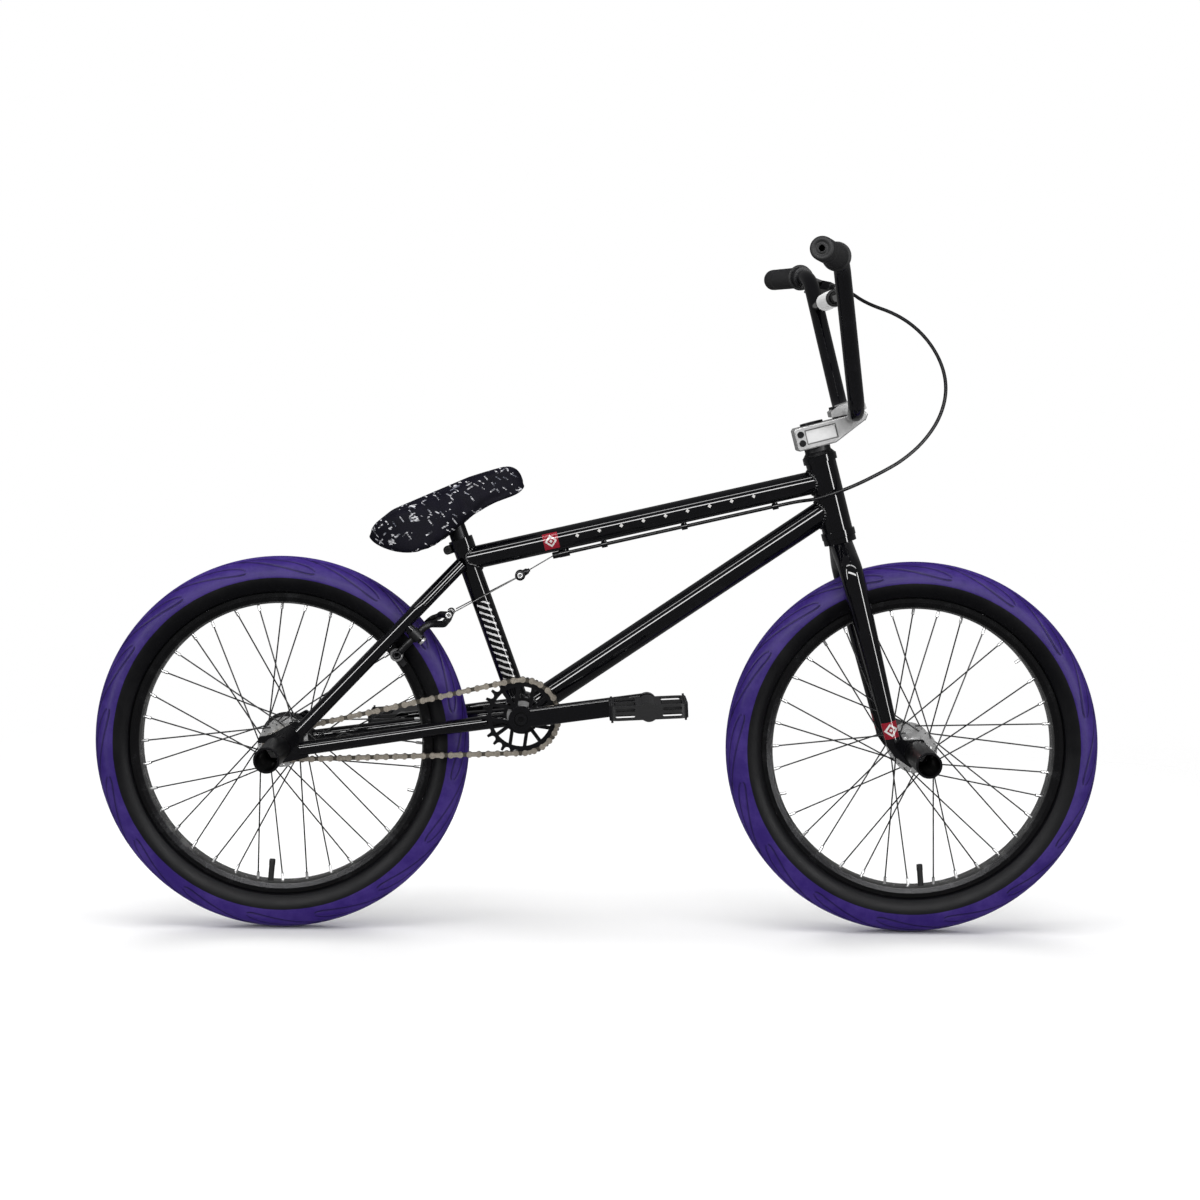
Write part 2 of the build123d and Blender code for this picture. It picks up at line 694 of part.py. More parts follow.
def make_crank_arm(side):
    reach_x, reach_z = crank_reach[side]
    pedal_x, pedal_z = bb_x + reach_x, bb_z + reach_z
    with BuildPart() as arm:
        with BuildSketch(Plane.XZ.offset(-side * crank_arm_inner)):
            with Locations(((bb_x + pedal_x) / 2, (bb_z + pedal_z) / 2)):
                SlotCenterToCenter(crank_length, crank_arm_height, rotation=crank_angle)
        extrude(amount=-side * (crank_arm_outer - crank_arm_inner))
        fillet(arm.edges(), radius=4.5)
        cross_rod(bb_x, bb_z, side * 52, side * crank_arm_outer, crank_boss_radius)
        cross_rod(
            pedal_x, pedal_z, side * crank_arm_inner, side * crank_arm_outer, pedal_boss_radius
        )
        cross_rod(bb_x, bb_z, side * 50, side * 80, spindle_radius, mode=Mode.SUBTRACT)
        cross_rod(pedal_x, pedal_z, side * 50, side * 80, 7.0, mode=Mode.SUBTRACT)
    return arm


save(make_crank_arm(-1), "crank_arm_right")
save(make_crank_arm(1), "crank_arm_left")

with BuildPart() as crank_spindle:
    cross_rod(bb_x, bb_z, -crank_arm_outer + 2, crank_arm_outer - 2, spindle_radius)
    cross_rod(bb_x, bb_z, -40, -bb_shell_half - apart, 12.5)
    cross_rod(bb_x, bb_z, bb_shell_half + apart, 52, 12.5)
    for side in (-1, 1):
        cross_rod(
            bb_x, bb_z, side * (crank_arm_outer - 2), side * (crank_arm_outer + 3), 8.0
        )
        cross_rod(
            bb_x, bb_z, side * (crank_arm_outer - 1), side * (crank_arm_outer + 3), 4.0,
            mode=Mode.SUBTRACT,
        )
save(crank_spindle, "crank_spindle")

pedal_inner = crank_arm_outer + 5
pedal_outer = pedal_offset + pedal_width / 2
with BuildPart() as pedal_spindles:
    for side in (-1, 1):
        x, z = bb_x + crank_reach[side][0], bb_z + crank_reach[side][1]
        cross_rod(x, z, side * crank_arm_inner, side * crank_arm_outer, 7.0)
        cross_rod(x, z, side * crank_arm_outer, side * (crank_arm_outer + 4), 9.0)
        cross_rod(
            x, z, side * (crank_arm_outer + 4), side * (pedal_outer - 6), pedal_pin_radius
        )
save(pedal_spindles, "pedal_spindles")


# Pedals: a cage round the spindle's housing, with traction pins above and below
def make_pedal(side):
    x, z = bb_x + crank_reach[side][0], bb_z + crank_reach[side][1]
    middle = (pedal_inner + pedal_outer) / 2
    width = pedal_outer - pedal_inner
    top = Plane(
        origin=(x, side * middle, z),
        x_dir=(cos(radians(pedal_tilt)), 0, sin(radians(pedal_tilt))),
        z_dir=(-sin(radians(pedal_tilt)), 0, cos(radians(pedal_tilt))),
    )
    with BuildPart() as pedal:
        with BuildSketch(top):
            RectangleRounded(pedal_length, width, 12)
            for end in (-1, 1):
                for row in (-1, 1):
                    with Locations((end * 31, row * width / 4.4)):
                        RectangleRounded(28, width / 2 - 13, 4, mode=Mode.SUBTRACT)
        extrude(amount=pedal_height / 2, both=True)
        with Locations(Plane(origin=(x, side * middle, z), z_dir=(0, 1, 0))):
            Cylinder(pedal_height / 2 + 3, width)
        with BuildSketch(Plane(top.origin, x_dir=top.x_dir, z_dir=(0, -side, 0))):
            for end in (-1, 1):
                for row in (-1, 1):
                    with Locations((end * 31, row * 4.2)):
                        SlotOverall(26, 4.6)
        extrude(amount=width, both=True, mode=Mode.SUBTRACT)
        for face in (-1, 1):
            for end in (-1, 1):
                for row in (-2, -1, 0, 1, 2):
                    with Locations(top * Location((end * 48.5, row * width / 5.2, face * 10))):
                        Cylinder(1.5, 6)
        cross_rod(
            x, z, side * pedal_inner, side * (pedal_outer - 5), pedal_pin_radius + running,
            mode=Mode.SUBTRACT,
        )
    return pedal


save(make_pedal(-1), "pedal_right")
save(make_pedal(1), "pedal_left")

# Seat post and saddle
post_top = seat_tube_length + 44
post_head_radius = post_radius + 0.3
post_head = seat_tube_point(post_top - 8)
with BuildPart() as seat_post:
    rod(seat_tube_point(post_top - post_length), seat_tube_point(post_top - 10), post_radius)
    rod(
        seat_tube_point(post_top - post_length), seat_tube_point(post_top - 16),
        post_radius - 2.0, mode=Mode.SUBTRACT,
    )
    cross_rod(post_head[0], post_head[2], -11, 11, post_head_radius)
save(seat_post, "seat_post")

saddle_top = Plane(
    origin=(post_head[0] + saddle_forward, 0, post_head[2] + saddle_rise),
    x_dir=(cos(radians(saddle_tilt)), 0, sin(radians(saddle_tilt))),
    z_dir=(0, -1, 0),
)
with BuildPart() as saddle:
    with BuildSketch(saddle_top):
        with BuildLine():
            Line((-104, 0), (82, 0))
            Spline((82, 0), (100, -6), (107, -28), (103, -37), (63, -43), (5, -52.5), (-54, -64.5),
                   (-104, -44), (-121, -16), (-104, 0))
        make_face()
    extrude(amount=saddle_half_width, both=True)
    with BuildSketch(Plane(saddle_top.origin, x_dir=saddle_top.x_dir, z_dir=saddle_top.y_dir)):
        with BuildLine():
            Spline((-121, 0), (-112, 44), (-78, saddle_half_width - 1), (-42, 62), (12, 33),
                   (80, 22), (101, 15), (107, 0))
            mirror(about=Plane.XZ)
        make_face()
    extrude(amount=90, both=True, mode=Mode.INTERSECT)
    cross_rod(post_head[0], post_head[2], -22, 22, post_head_radius + apart, mode=Mode.SUBTRACT)
    with Locations((post_head[0] + 2, 0, post_head[2] + saddle_recess_rise)):
        Box(
            88, 44, 95, align=(Align.CENTER, Align.CENTER, Align.MAX), mode=Mode.SUBTRACT,
        )
save(saddle, "saddle")

# Fork: steerer with its crown race, then legs that curve in to meet it
crown_height = head_tube_bottom - 12
with BuildPart() as steerer_tube:
    rod(
        steering_point(crown_height - 16), steering_point(stem_bottom + stem_height - 3),
        steerer_radius,
    )
    rod(
        steering_point(head_tube_bottom - 8), steering_point(head_tube_bottom - apart),
        head_lip_radius - 1,
    )
    rod(
        steering_point(crown_height - 20), steering_point(stem_bottom + stem_height),
        steerer_bore, mode=Mode.SUBTRACT,
    )
save(steerer_tube, "steerer_tube")

leg_side = front_hub_half + dropout_thickness / 2
leg_elbow = head_tube_bottom - 50
with BuildPart() as fork_legs:
    for side in (-1, 1):
        leg_joint = steering_point(leg_elbow - 24, 0, side * leg_side)
        taper(steering_point(22, 0, side * leg_side), leg_joint, leg_bottom_radius, leg_top_radius)
        taper(
            steering_point(28, 0, side * leg_side), leg_joint,
            leg_bottom_radius - leg_wall, leg_top_radius - leg_wall, mode=Mode.SUBTRACT,
        )
        leg_bend = [
            leg_joint, steering_point(leg_elbow + 6, 0, side * leg_side),
            steering_point(crown_height, 0, side * 8),
        ]
        swept(leg_bend, [26.0], leg_top_radius, leg_top_radius - leg_wall)
    rod(
        steering_point(crown_height - 60), steering_point(head_tube_bottom), steerer_radius,
        mode=Mode.SUBTRACT,
    )
    rod(
        steering_point(head_tube_bottom - 8), steering_point(head_tube_bottom + 60),
        60, mode=Mode.SUBTRACT,
    )
save(fork_legs, "fork_legs")

with BuildPart() as fork_dropouts:
    for side in (-1, 1):
        with BuildSketch(steering_plane.offset(-side * front_hub_half)):
            with BuildLine():
                Polyline(
                    (-9, 40), (9, 40), (14, 22), (fork_offset + 12, 17),
                    (fork_offset + 18, 0), (fork_offset + 10, -17), (fork_offset - 14, -17),
                    (-4, 4), (-10, 20), close=True,
                )
            make_face()
        extrude(amount=-side * dropout_thickness)
    fillet(fork_dropouts.edges().filter_by(Axis.Y), radius=4)
    add(fork_legs.part, mode=Mode.SUBTRACT)
    cross_rod(front_x, tyre_outer, -80, 80, front_axle_radius, mode=Mode.SUBTRACT)
save(fork_dropouts, "fork_dropouts")

with BuildPart() as headset_spacer:
    taper(
        steering_point(head_tube_top + apart), steering_point(head_tube_top + 6),
        head_lip_radius - 1, 18.0,
    )
    rod(steering_point(head_tube_top + 6), steering_point(stem_bottom), 18.0)
    rod(
        steering_point(head_tube_top), steering_point(stem_bottom), steerer_radius,
        mode=Mode.SUBTRACT,
    )
save(headset_spacer, "headset_spacer")

# Stem: steerer clamp behind, bar seat on top in front, and a separate cap over the bar
stem_top = stem_bottom + stem_height
bar_along = stem_bottom + bar_seat_height
bar_centre = steering_point(bar_along, stem_reach)


def bolt(start, end, shank, head, head_height, mode=Mode.ADD):
    rod(start, end, shank, mode=mode)
    rod(start, between(start, end, head_height / (Vector(*end) - Vector(*start)).length), head,
        mode=mode)


def cap_bolts(mode=Mode.ADD):
    for forward in (stem_reach - 20, stem_reach + 16):
        for side in (-16, 16):
            bolt(
                steering_point(bar_along + 14, forward, side),
                steering_point(bar_along - 14, forward, side), 2.5, 4.2, 5, mode,
            )


def pinch_bolts(mode=Mode.ADD):
    for along in (stem_bottom + 10, stem_bottom + 22):
        bolt(
            steering_point(along, -20, -stem_half_width - 1), steering_point(along, -20, 20),
            2.5, 4.6, 5, mode,
        )


with BuildPart() as stem:
    with BuildSketch(steering_plane):
        with BuildLine():
            Polyline(
                (-28, stem_bottom + 2), (-28, stem_top - 3), (-25, stem_top),
                (stem_reach + 19, stem_top), (stem_reach + 22, stem_top - 5),
                (stem_reach + 18, stem_top - 11), (27, stem_bottom + 1), (24, stem_bottom),
                (-26, stem_bottom), close=True,
            )
        make_face()
    extrude(amount=stem_half_width, both=True)
    fillet(stem.faces().filter_by(Axis.Y).edges(), radius=1.8)
    for side in (-1, 1):
        with BuildSketch(steering_plane.offset(side * stem_half_width)):
            with BuildLine():
                Polyline(
                    (-13, stem_bottom + 7), (-13, stem_top - 6), (25, stem_top - 6),
                    (30, stem_top - 11), (30, stem_bottom + 7), close=True,
                )
            make_face()
        extrude(amount=-side * 3, mode=Mode.SUBTRACT)
    rod(steering_point(300), steering_point(500), steerer_radius, mode=Mode.SUBTRACT)
    cross_rod(bar_centre[0], bar_centre[2], -60, 60, bar_radius, mode=Mode.SUBTRACT)
    with BuildSketch(steering_plane):
        with Locations((-24, stem_bottom + stem_height / 2)):
            Rectangle(24, stem_height + 4)
    extrude(amount=0.9, both=True, mode=Mode.SUBTRACT)
    cap_bolts(Mode.SUBTRACT)
    pinch_bolts(Mode.SUBTRACT)
save(stem, "stem")

with BuildPart() as stem_cap:
    cap_low = bar_along + 0.6
    with BuildSketch(steering_plane):
        with BuildLine():
            Polyline(
                (stem_reach - 27, cap_low), (stem_reach - 27, cap_low + 8),
                (stem_reach - 14, cap_low + 14), (stem_reach + 9, cap_low + 16),
                (stem_reach + 22, cap_low + 9), (stem_reach + 22, cap_low), close=True,
            )
        make_face()
    extrude(amount=stem_half_width - 1, both=True)
    fillet(stem_cap.edges().filter_by(Axis.Y), radius=1.5)
    cross_rod(bar_centre[0], bar_centre[2], -60, 60, bar_radius, mode=Mode.SUBTRACT)
    cap_bolts(Mode.SUBTRACT)
save(stem_cap, "stem_cap")

with BuildPart() as stem_bolts:
    cap_bolts()
    pinch_bolts()
save(stem_bolts, "stem_bolts")

with BuildPart() as stem_top_cap:
    rod(steering_point(stem_top), steering_point(stem_top + 3.2), 16.0)
    rod(steering_point(stem_top - 9), steering_point(stem_top), steerer_bore - 0.1)
    rod(steering_point(stem_top + 1.5), steering_point(stem_top + 3.2), 4.5, mode=Mode.SUBTRACT)
save(stem_top_cap, "stem_top_cap")

# Handlebar: a straight clamp section, splayed legs and swept-back ends
bar_corner_half = 95.0
bar_shoulder = (bar_centre[0] - 38, 210.0, bar_centre[2] + 197)
grip_direction = Vector(-39, 149, 3).normalized()
bar_end_reach = 37 + grip_length


def mirrored(point, side):
    return (point[0], side * point[1], point[2])


def grip_point(reach, side):
    along = Vector(*bar_shoulder) + grip_direction * reach
    return mirrored((along.X, along.Y, along.Z), side)


bar_route = [
    grip_point(bar_end_reach - 3, 1), bar_shoulder, (bar_centre[0], bar_corner_half, bar_centre[2]),
    (bar_centre[0], -bar_corner_half, bar_centre[2]), mirrored(bar_shoulder, -1),
    grip_point(bar_end_reach - 3, -1),
]
with BuildPart() as handlebar:
    swept(bar_route, [42.0, 45.0, 45.0, 42.0], bar_radius, bar_radius - bar_wall)
save(handlebar, "handlebar")

crossbar_end = between(bar_route[2], bar_route[1], crossbar_height / 197)
with BuildPart() as handlebar_crossbar:
    tube(crossbar_end, mirrored(crossbar_end, -1), crossbar_radius, bar_wall)
    for side in (-1, 1):
        rod(mirrored(bar_route[2], side), mirrored(bar_shoulder, side), bar_radius,
            mode=Mode.SUBTRACT)
save(handlebar_crossbar, "handlebar_crossbar")

with BuildPart() as grips:
    for side in (-1, 1):
        rod(grip_point(37, side), grip_point(bar_end_reach, side), grip_radius)
        rod(grip_point(37, side), grip_point(40, side), grip_flange_radius)
        rod(grip_point(37, side), grip_point(bar_end_reach - 3, side), bar_radius,
            mode=Mode.SUBTRACT)
        rod(grip_point(100, side), grip_point(bar_end_reach, side), 4.0, mode=Mode.SUBTRACT)
save(grips, "grips")

# Brake lever and its clamp, in a plane through the bar that faces forwards and down
lever_centre = grip_point(30, 1)
raw_away = Vector(0.93, 0, -0.36)
lever_away = (raw_away - grip_direction * raw_away.dot(grip_direction)).normalized()
lever_normal = grip_direction.cross(lever_away)
lever_plane = Plane(
    origin=lever_centre, x_dir=tuple(grip_direction), z_dir=tuple(lever_normal)
)
lever_pivot = (2.0, 34.0)
lever_half_thickness = 3.0


def lever_point(out, away, across=0.0):
    place = Vector(*lever_centre) + grip_direction * out + lever_away * away + lever_normal * across
    return (place.X, place.Y, place.Z)


with BuildPart() as lever_clamp:
    rod(lever_point(-6, 0), lever_point(6, 0), bar_radius + 4)
    with BuildSketch(lever_plane.offset(-6.5)):
        with BuildLine():
            Polyline(
                (-6, 8), (6, 8), (8, 36), (4, 40), (-4, 40), (-26, 44), (-28, 34), (-10, 26),
                close=True,
            )
        make_face()
    extrude(amount=13)
    with BuildSketch(lever_plane.offset(-lever_half_thickness - apart)):
        with Locations((8, 34)):
            Rectangle(42, 26)
    extrude(amount=2 * (lever_half_thickness + apart), mode=Mode.SUBTRACT)
    rod(lever_point(-20, 38.5), lever_point(-36, 43), 4.6)
    rod(lever_point(-10, 35.7), lever_point(-40, 44), housing_radius, mode=Mode.SUBTRACT)
    rod(lever_point(-20, 0), lever_point(20, 0), bar_radius, mode=Mode.SUBTRACT)
    rod(lever_point(*lever_pivot, -6.5), lever_point(*lever_pivot, 6.5), 2.5)
save(lever_clamp, "lever_clamp")

with BuildPart() as brake_lever:
    with BuildSketch(lever_plane.offset(-lever_half_thickness)):
        with BuildLine():
            Spline(
                (-4, 29.5), (8, 29), (30, 40), (62, 46), (92, 42), (100, 44), (101, 51), (92, 53),
                (62, 56), (30, 51), (10, 41), (-3, 40),
            )
            Line((-3, 40), (-4, 29.5))
        make_face()
    extrude(amount=2 * lever_half_thickness)
    rod(
        lever_point(*lever_pivot, -5), lever_point(*lever_pivot, 5), 2.5 + running,
        mode=Mode.SUBTRACT,
    )
save(brake_lever, "brake_lever")

# Brake cable: a loop from the lever round to the right of the head tube, then under the top tube
tube_run = Vector(*top_tube_front) - Vector(*top_tube_rear)
tube_along = tube_run.normalized()
tube_down = Vector(tube_along.Z, 0, -tube_along.X)


def under_top_tube(x, drop=cable_drop):
    place = Vector(*top_tube_rear) + tube_along * ((x - top_tube_rear[0]) / tube_along.X)
    place = place + tube_down * drop
    return (place.X, place.Y, place.Z)


cable_start = lever_point(-36, 43)
cable_lead = lever_point(-62, 50.3)
front_guide_x = 245.0
rear_guide_x = 112.0
stop_x = -48.0
cable_route = [
    cable_start, cable_lead, (379, 148, 878), (421, 112, 861), (453, 80, 833), (474, 52, 796),
    (480, 28, 757), (469, 8, 718), (444, -8, 683), (413, -18, 657), (384, -25, 641),
    (350, -30, 624), (320, -31, 612), (294, -23, 603), under_top_tube(front_guide_x + 23),
    under_top_tube(front_guide_x),
]
cable_radii = widest_arcs(cable_route)
with BuildPart() as brake_cable_loop:
    loop_length = swept(cable_route, cable_radii, housing_radius)
save(brake_cable_loop, "brake_cable_loop")
print("cable loop length", round(loop_length, 1), "radii", [round(r) for r in cable_radii])
print("cable loop volume", round(brake_cable_loop.part.volume), round(pi * housing_radius**2 * loop_length))

with BuildPart() as brake_housing:
    rod(under_top_tube(front_guide_x), under_top_tube(stop_x), housing_radius)
save(brake_housing, "brake_housing")

guide_radius = 4.5
with BuildPart() as cable_guides:
    for x in (front_guide_x - 8, rear_guide_x, stop_x + 50):
        rod(under_top_tube(x - 4), under_top_tube(x + 4), guide_radius)
        rod(
            between(under_top_tube(x, cable_drop), under_top_tube(x, 0), 0.1),
            under_top_tube(x, top_tube_radius - 0.5), 3.2,
        )
    rod(under_top_tube(stop_x - 12), under_top_tube(stop_x + 2), 5.0)
    rod(under_top_tube(stop_x - 4, cable_drop), under_top_tube(stop_x - 4, top_tube_radius - 0.5), 4.0)
    rod(under_top_tube(stop_x), under_top_tube(300), housing_radius, mode=Mode.SUBTRACT)
    rod(top_tube_rear, top_tube_front, top_tube_radius, mode=Mode.SUBTRACT)
    rod(under_top_tube(stop_x - 20), under_top_tube(stop_x - 12), 3.2)
    rod(under_top_tube(stop_x - 22), under_top_tube(stop_x + 3), 1.2, mode=Mode.SUBTRACT)
save(cable_guides, "cable_guides")


# Rear brake: each arm turns on a boss under its own seatstay and crosses above the tyre
def brake_point(up, out, side):
    """A point near a seatstay: up along it from the hub's height, out from its axis."""
    place = Vector(seatstay_low[0], 0, seatstay_low[2]) + stay_up * up + stay_out * out
    return (place.X, side, place.Z)


boss_up = 206.0
boss_side = 40.5
boss_tip = 30.0
cable_end_up = 256.0
cable_end_side = 30.0
pad_up = 164.0
pad_out = 22.8
with BuildPart() as brake_bosses:
    for side in (-1, 1):
        rod(brake_point(boss_up, 6, side * boss_side), brake_point(boss_up, 15, side * boss_side), 7.0)
        rod(
            brake_point(boss_up, 6, side * boss_side), brake_point(boss_up, boss_tip, side * boss_side),
            4.0,
        )
        rod(
            brake_point(boss_up, boss_tip, side * boss_side),
            brake_point(boss_up, boss_tip + 3, side * boss_side), 6.5,
        )
        rod(
            (seatstay_low[0], side * seatstay_low[1], seatstay_low[2]),
            (seatstay_bend[0], side * seatstay_bend[1], seatstay_bend[2]),
            seatstay_radius, mode=Mode.SUBTRACT,
        )
save(brake_bosses, "brake_bosses")


def make_brake_arm(side, cross_out):
    with BuildPart() as arm:
        route = [
            brake_point(pad_up + 4, pad_out, side * 35),
            brake_point(boss_up - 16, pad_out, side * 39),
            brake_point(boss_up + 22, pad_out + 1, side * 38),
            brake_point(cable_end_up - 16, cross_out, side * 12),
            brake_point(cable_end_up - 9, cross_out, side * -12),
            brake_point(cable_end_up, 36, side * -cable_end_side),
        ]
        swept(route, [14.0, 14.0, 12.0, 12.0], 4.8)
        with Locations(route[0]):
            Sphere(5.5)
        rod(
            brake_point(boss_up, 15 + apart, side * boss_side),
            brake_point(boss_up, boss_tip - apart, side * boss_side), 8.5,
        )
        tip = brake_point(cable_end_up, 36, side * -cable_end_side)
        with Locations(tip):
            Sphere(5.2)
        rod(
            brake_point(boss_up, 10, side * boss_side), brake_point(boss_up, 36, side * boss_side),
            4.0 + running, mode=Mode.SUBTRACT,
        )
        shoe_near = rim_half + pad_gap
        shoe = Plane(
            origin=brake_point(pad_up, pad_out, side * (shoe_near + 4.5)),
            x_dir=tuple(stay_out), z_dir=(0, 1, 0),
        )
        rod(brake_point(pad_up, pad_out, side * (shoe_near + 8)), route[0], 3.5)
        with Locations(shoe):
            Box(36, 8, 9)
    return arm


save(make_brake_arm(-1, 40.0), "brake_arm_right")
save(make_brake_arm(1, 28.0), "brake_arm_left")

# Straddle cable: the inner wire, its yoke, and the wire from the yoke to both arms
stop_tip = under_top_tube(stop_x - 20)
yoke = (stop_tip[0] - yoke_behind_stop, 0.0, stop_tip[2] - yoke_below_stop)
with BuildPart() as straddle_cable:
    rod(stop_tip, yoke, wire_radius)
    cross_rod(yoke[0], yoke[2], -7, 7, 5.0)
    for side in (-1, 1):
        rod(
            (yoke[0] - 2, side * 5, yoke[2] - 2),
            between((yoke[0] - 2, side * 5, yoke[2] - 2),
                    brake_point(cable_end_up, 36, side * cable_end_side), 0.93),
            wire_radius,
        )
save(straddle_cable, "straddle_cable")

print("wheelbase", round(wheelbase, 1), "centre distance", round(centre_distance, 2))
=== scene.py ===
# A freestyle bmx bike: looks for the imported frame. Metres, +X forwards, +Y to the rider's left.
import bpy
import bmesh
import json
import math
from mathutils import Matrix, Vector, noise


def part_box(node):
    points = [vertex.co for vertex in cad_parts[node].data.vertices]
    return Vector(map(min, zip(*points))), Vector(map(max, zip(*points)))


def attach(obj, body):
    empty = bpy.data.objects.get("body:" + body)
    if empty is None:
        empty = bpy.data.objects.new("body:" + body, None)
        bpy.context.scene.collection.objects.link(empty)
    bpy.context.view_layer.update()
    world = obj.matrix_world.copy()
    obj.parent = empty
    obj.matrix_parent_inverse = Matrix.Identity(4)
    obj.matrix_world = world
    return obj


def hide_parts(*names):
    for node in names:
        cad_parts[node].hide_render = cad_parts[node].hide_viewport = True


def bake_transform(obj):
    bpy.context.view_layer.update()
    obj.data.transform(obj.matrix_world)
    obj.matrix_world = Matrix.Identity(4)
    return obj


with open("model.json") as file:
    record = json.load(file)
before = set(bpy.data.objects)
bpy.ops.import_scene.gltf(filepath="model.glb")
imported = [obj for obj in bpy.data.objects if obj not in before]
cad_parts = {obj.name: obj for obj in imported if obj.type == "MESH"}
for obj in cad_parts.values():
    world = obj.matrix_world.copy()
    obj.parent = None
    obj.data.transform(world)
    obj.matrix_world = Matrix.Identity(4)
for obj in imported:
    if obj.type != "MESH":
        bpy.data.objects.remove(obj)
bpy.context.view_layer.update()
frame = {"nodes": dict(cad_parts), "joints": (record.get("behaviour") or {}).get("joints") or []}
print("frame loaded")


# Places that the pieces share, all read from the frame
def middle(node):
    low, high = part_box(node)
    return (low + high) / 2


def jointAxis(name):
    joint = [j for j in frame["joints"] if j["name"] == name][0]
    return Vector(joint["axis"]).normalized()


hubs = {"front": middle("front_axle"), "rear": middle("rear_axle")}
bottomBracket = middle("bb_shell")
steerUp = jointAxis("steering")
seatUp = jointAxis("seat_height")
headMiddle = middle("head_tube")
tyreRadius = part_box("front_tyre")[1].z - hubs["front"].z
chainAt = middle("chain").y
sideways = Vector((0, 1, 0))

tubes = {
    "headLength": 0.116, "headRadius": 0.021, "legLength": 0.3094,
    "topRadius": 0.0159, "topBelowHead": 0.0347, "topOnSeatTube": 0.2255,
    "downRadius": 0.017, "downAboveHead": 0.0437,
    "seatRadius": 0.0143, "shellRadius": 0.0254,
}
headTop = headMiddle + steerUp * tubes["headLength"] / 2
headBottom = headMiddle - steerUp * tubes["headLength"] / 2
topTubeFront = headTop - steerUp * tubes["topBelowHead"]
topTubeRear = bottomBracket + seatUp * tubes["topOnSeatTube"]
downTubeFront = headBottom + steerUp * tubes["downAboveHead"]


# Shader sums: a socket that takes part in ordinary expressions
class Wire:
    def __init__(self, finish, socket):
        self.finish = finish
        self.socket = socket

    def __add__(self, other):
        return self.finish.sum("ADD", self, other)

    def __radd__(self, other):
        return self.finish.sum("ADD", other, self)

    def __sub__(self, other):
        return self.finish.sum("SUBTRACT", self, other)

    def __rsub__(self, other):
        return self.finish.sum("SUBTRACT", other, self)

    def __mul__(self, other):
        return self.finish.sum("MULTIPLY", self, other)

    def __rmul__(self, other):
        return self.finish.sum("MULTIPLY", other, self)

    def __truediv__(self, other):
        return self.finish.sum("DIVIDE", self, other)

    def __gt__(self, other):
        return self.finish.sum("GREATER_THAN", self, other)

    def __lt__(self, other):
        return self.finish.sum("LESS_THAN", self, other)

    def __abs__(self):
        return self.finish.sum("ABSOLUTE", self)


class Finish:
    def __init__(self, name):
        self.material = bpy.data.materials.new(name)
        self.material.use_nodes = True
        self.tree = self.material.node_tree
        self.tree.nodes.clear()

    def add(self, kind, settings=None, sockets=None, out=0):
        node = self.tree.nodes.new(kind)
        for key, value in (settings or {}).items():
            if key == "stops":
                ramp = node.color_ramp
                while len(ramp.elements) < len(value):
                    ramp.elements.new(1.0)
                for element, (place, colour) in zip(ramp.elements, value):
                    element.position = place
                    element.color = colour
            else:
                setattr(node, key, value)
        for key, value in (sockets or {}).items():
            if isinstance(value, Wire):
                self.tree.links.new(value.socket, node.inputs[key])
            else:
                node.inputs[key].default_value = value
        return Wire(self, node.outputs[out])

    def sum(self, operation, first, second=0.0):
        return self.add("ShaderNodeMath", {"operation": operation}, {0: first, 1: second})

    def place(self, centre=(0, 0, 0), turn=(0, 0, 0), scale=(1, 1, 1)):
        point = self.add("ShaderNodeTexCoord", out=3)
        moved = self.add("ShaderNodeVectorMath", {"operation": "SUBTRACT"}, {0: point, 1: centre})
        return self.add("ShaderNodeMapping", {}, {"Vector": moved, "Rotation": turn, "Scale": scale})

    def split(self, point):
        node = self.tree.nodes.new("ShaderNodeSeparateXYZ")
        self.tree.links.new(point.socket, node.inputs[0])
        return [Wire(self, node.outputs[k]) for k in range(3)]

    def dot(self, point, direction):
        return self.add(
            "ShaderNodeVectorMath", {"operation": "DOT_PRODUCT"}, {0: point, 1: direction}, out=1
        )

    def cloud(self, point, scale, detail=4.0, rough=0.55):
        return self.add(
            "ShaderNodeTexNoise", {},
            {"Vector": point, "Scale": scale, "Detail": detail, "Roughness": rough},
        )

    def cells(self, point, scale, out=0, feature="F1"):
        return self.add(
            "ShaderNodeTexVoronoi", {"feature": feature}, {"Vector": point, "Scale": scale}, out
        )

    def band(self, value, low, high):
        return self.add(
            "ShaderNodeMapRange", {"interpolation_type": "SMOOTHSTEP"},
            {"Value": value, "From Min": low, "From Max": high},
        )

    def mix(self, factor, first, second):
        return self.add(
            "ShaderNodeMix", {"data_type": "RGBA"}, {0: factor, 6: first, 7: second}, out=2
        )

    def bump(self, height, depth, strength=1.0):
        return self.add(
            "ShaderNodeBump", {}, {"Height": height, "Distance": depth, "Strength": strength}
        )

    def surface(self, sockets):
        shader = self.add("ShaderNodeBsdfPrincipled", {}, sockets)
        output = self.tree.nodes.new("ShaderNodeOutputMaterial")
        self.tree.links.new(shader.socket, output.inputs["Surface"])
        return self.material


def grey(level, blue=0.0):
    return (level, level, level + blue, 1.0)


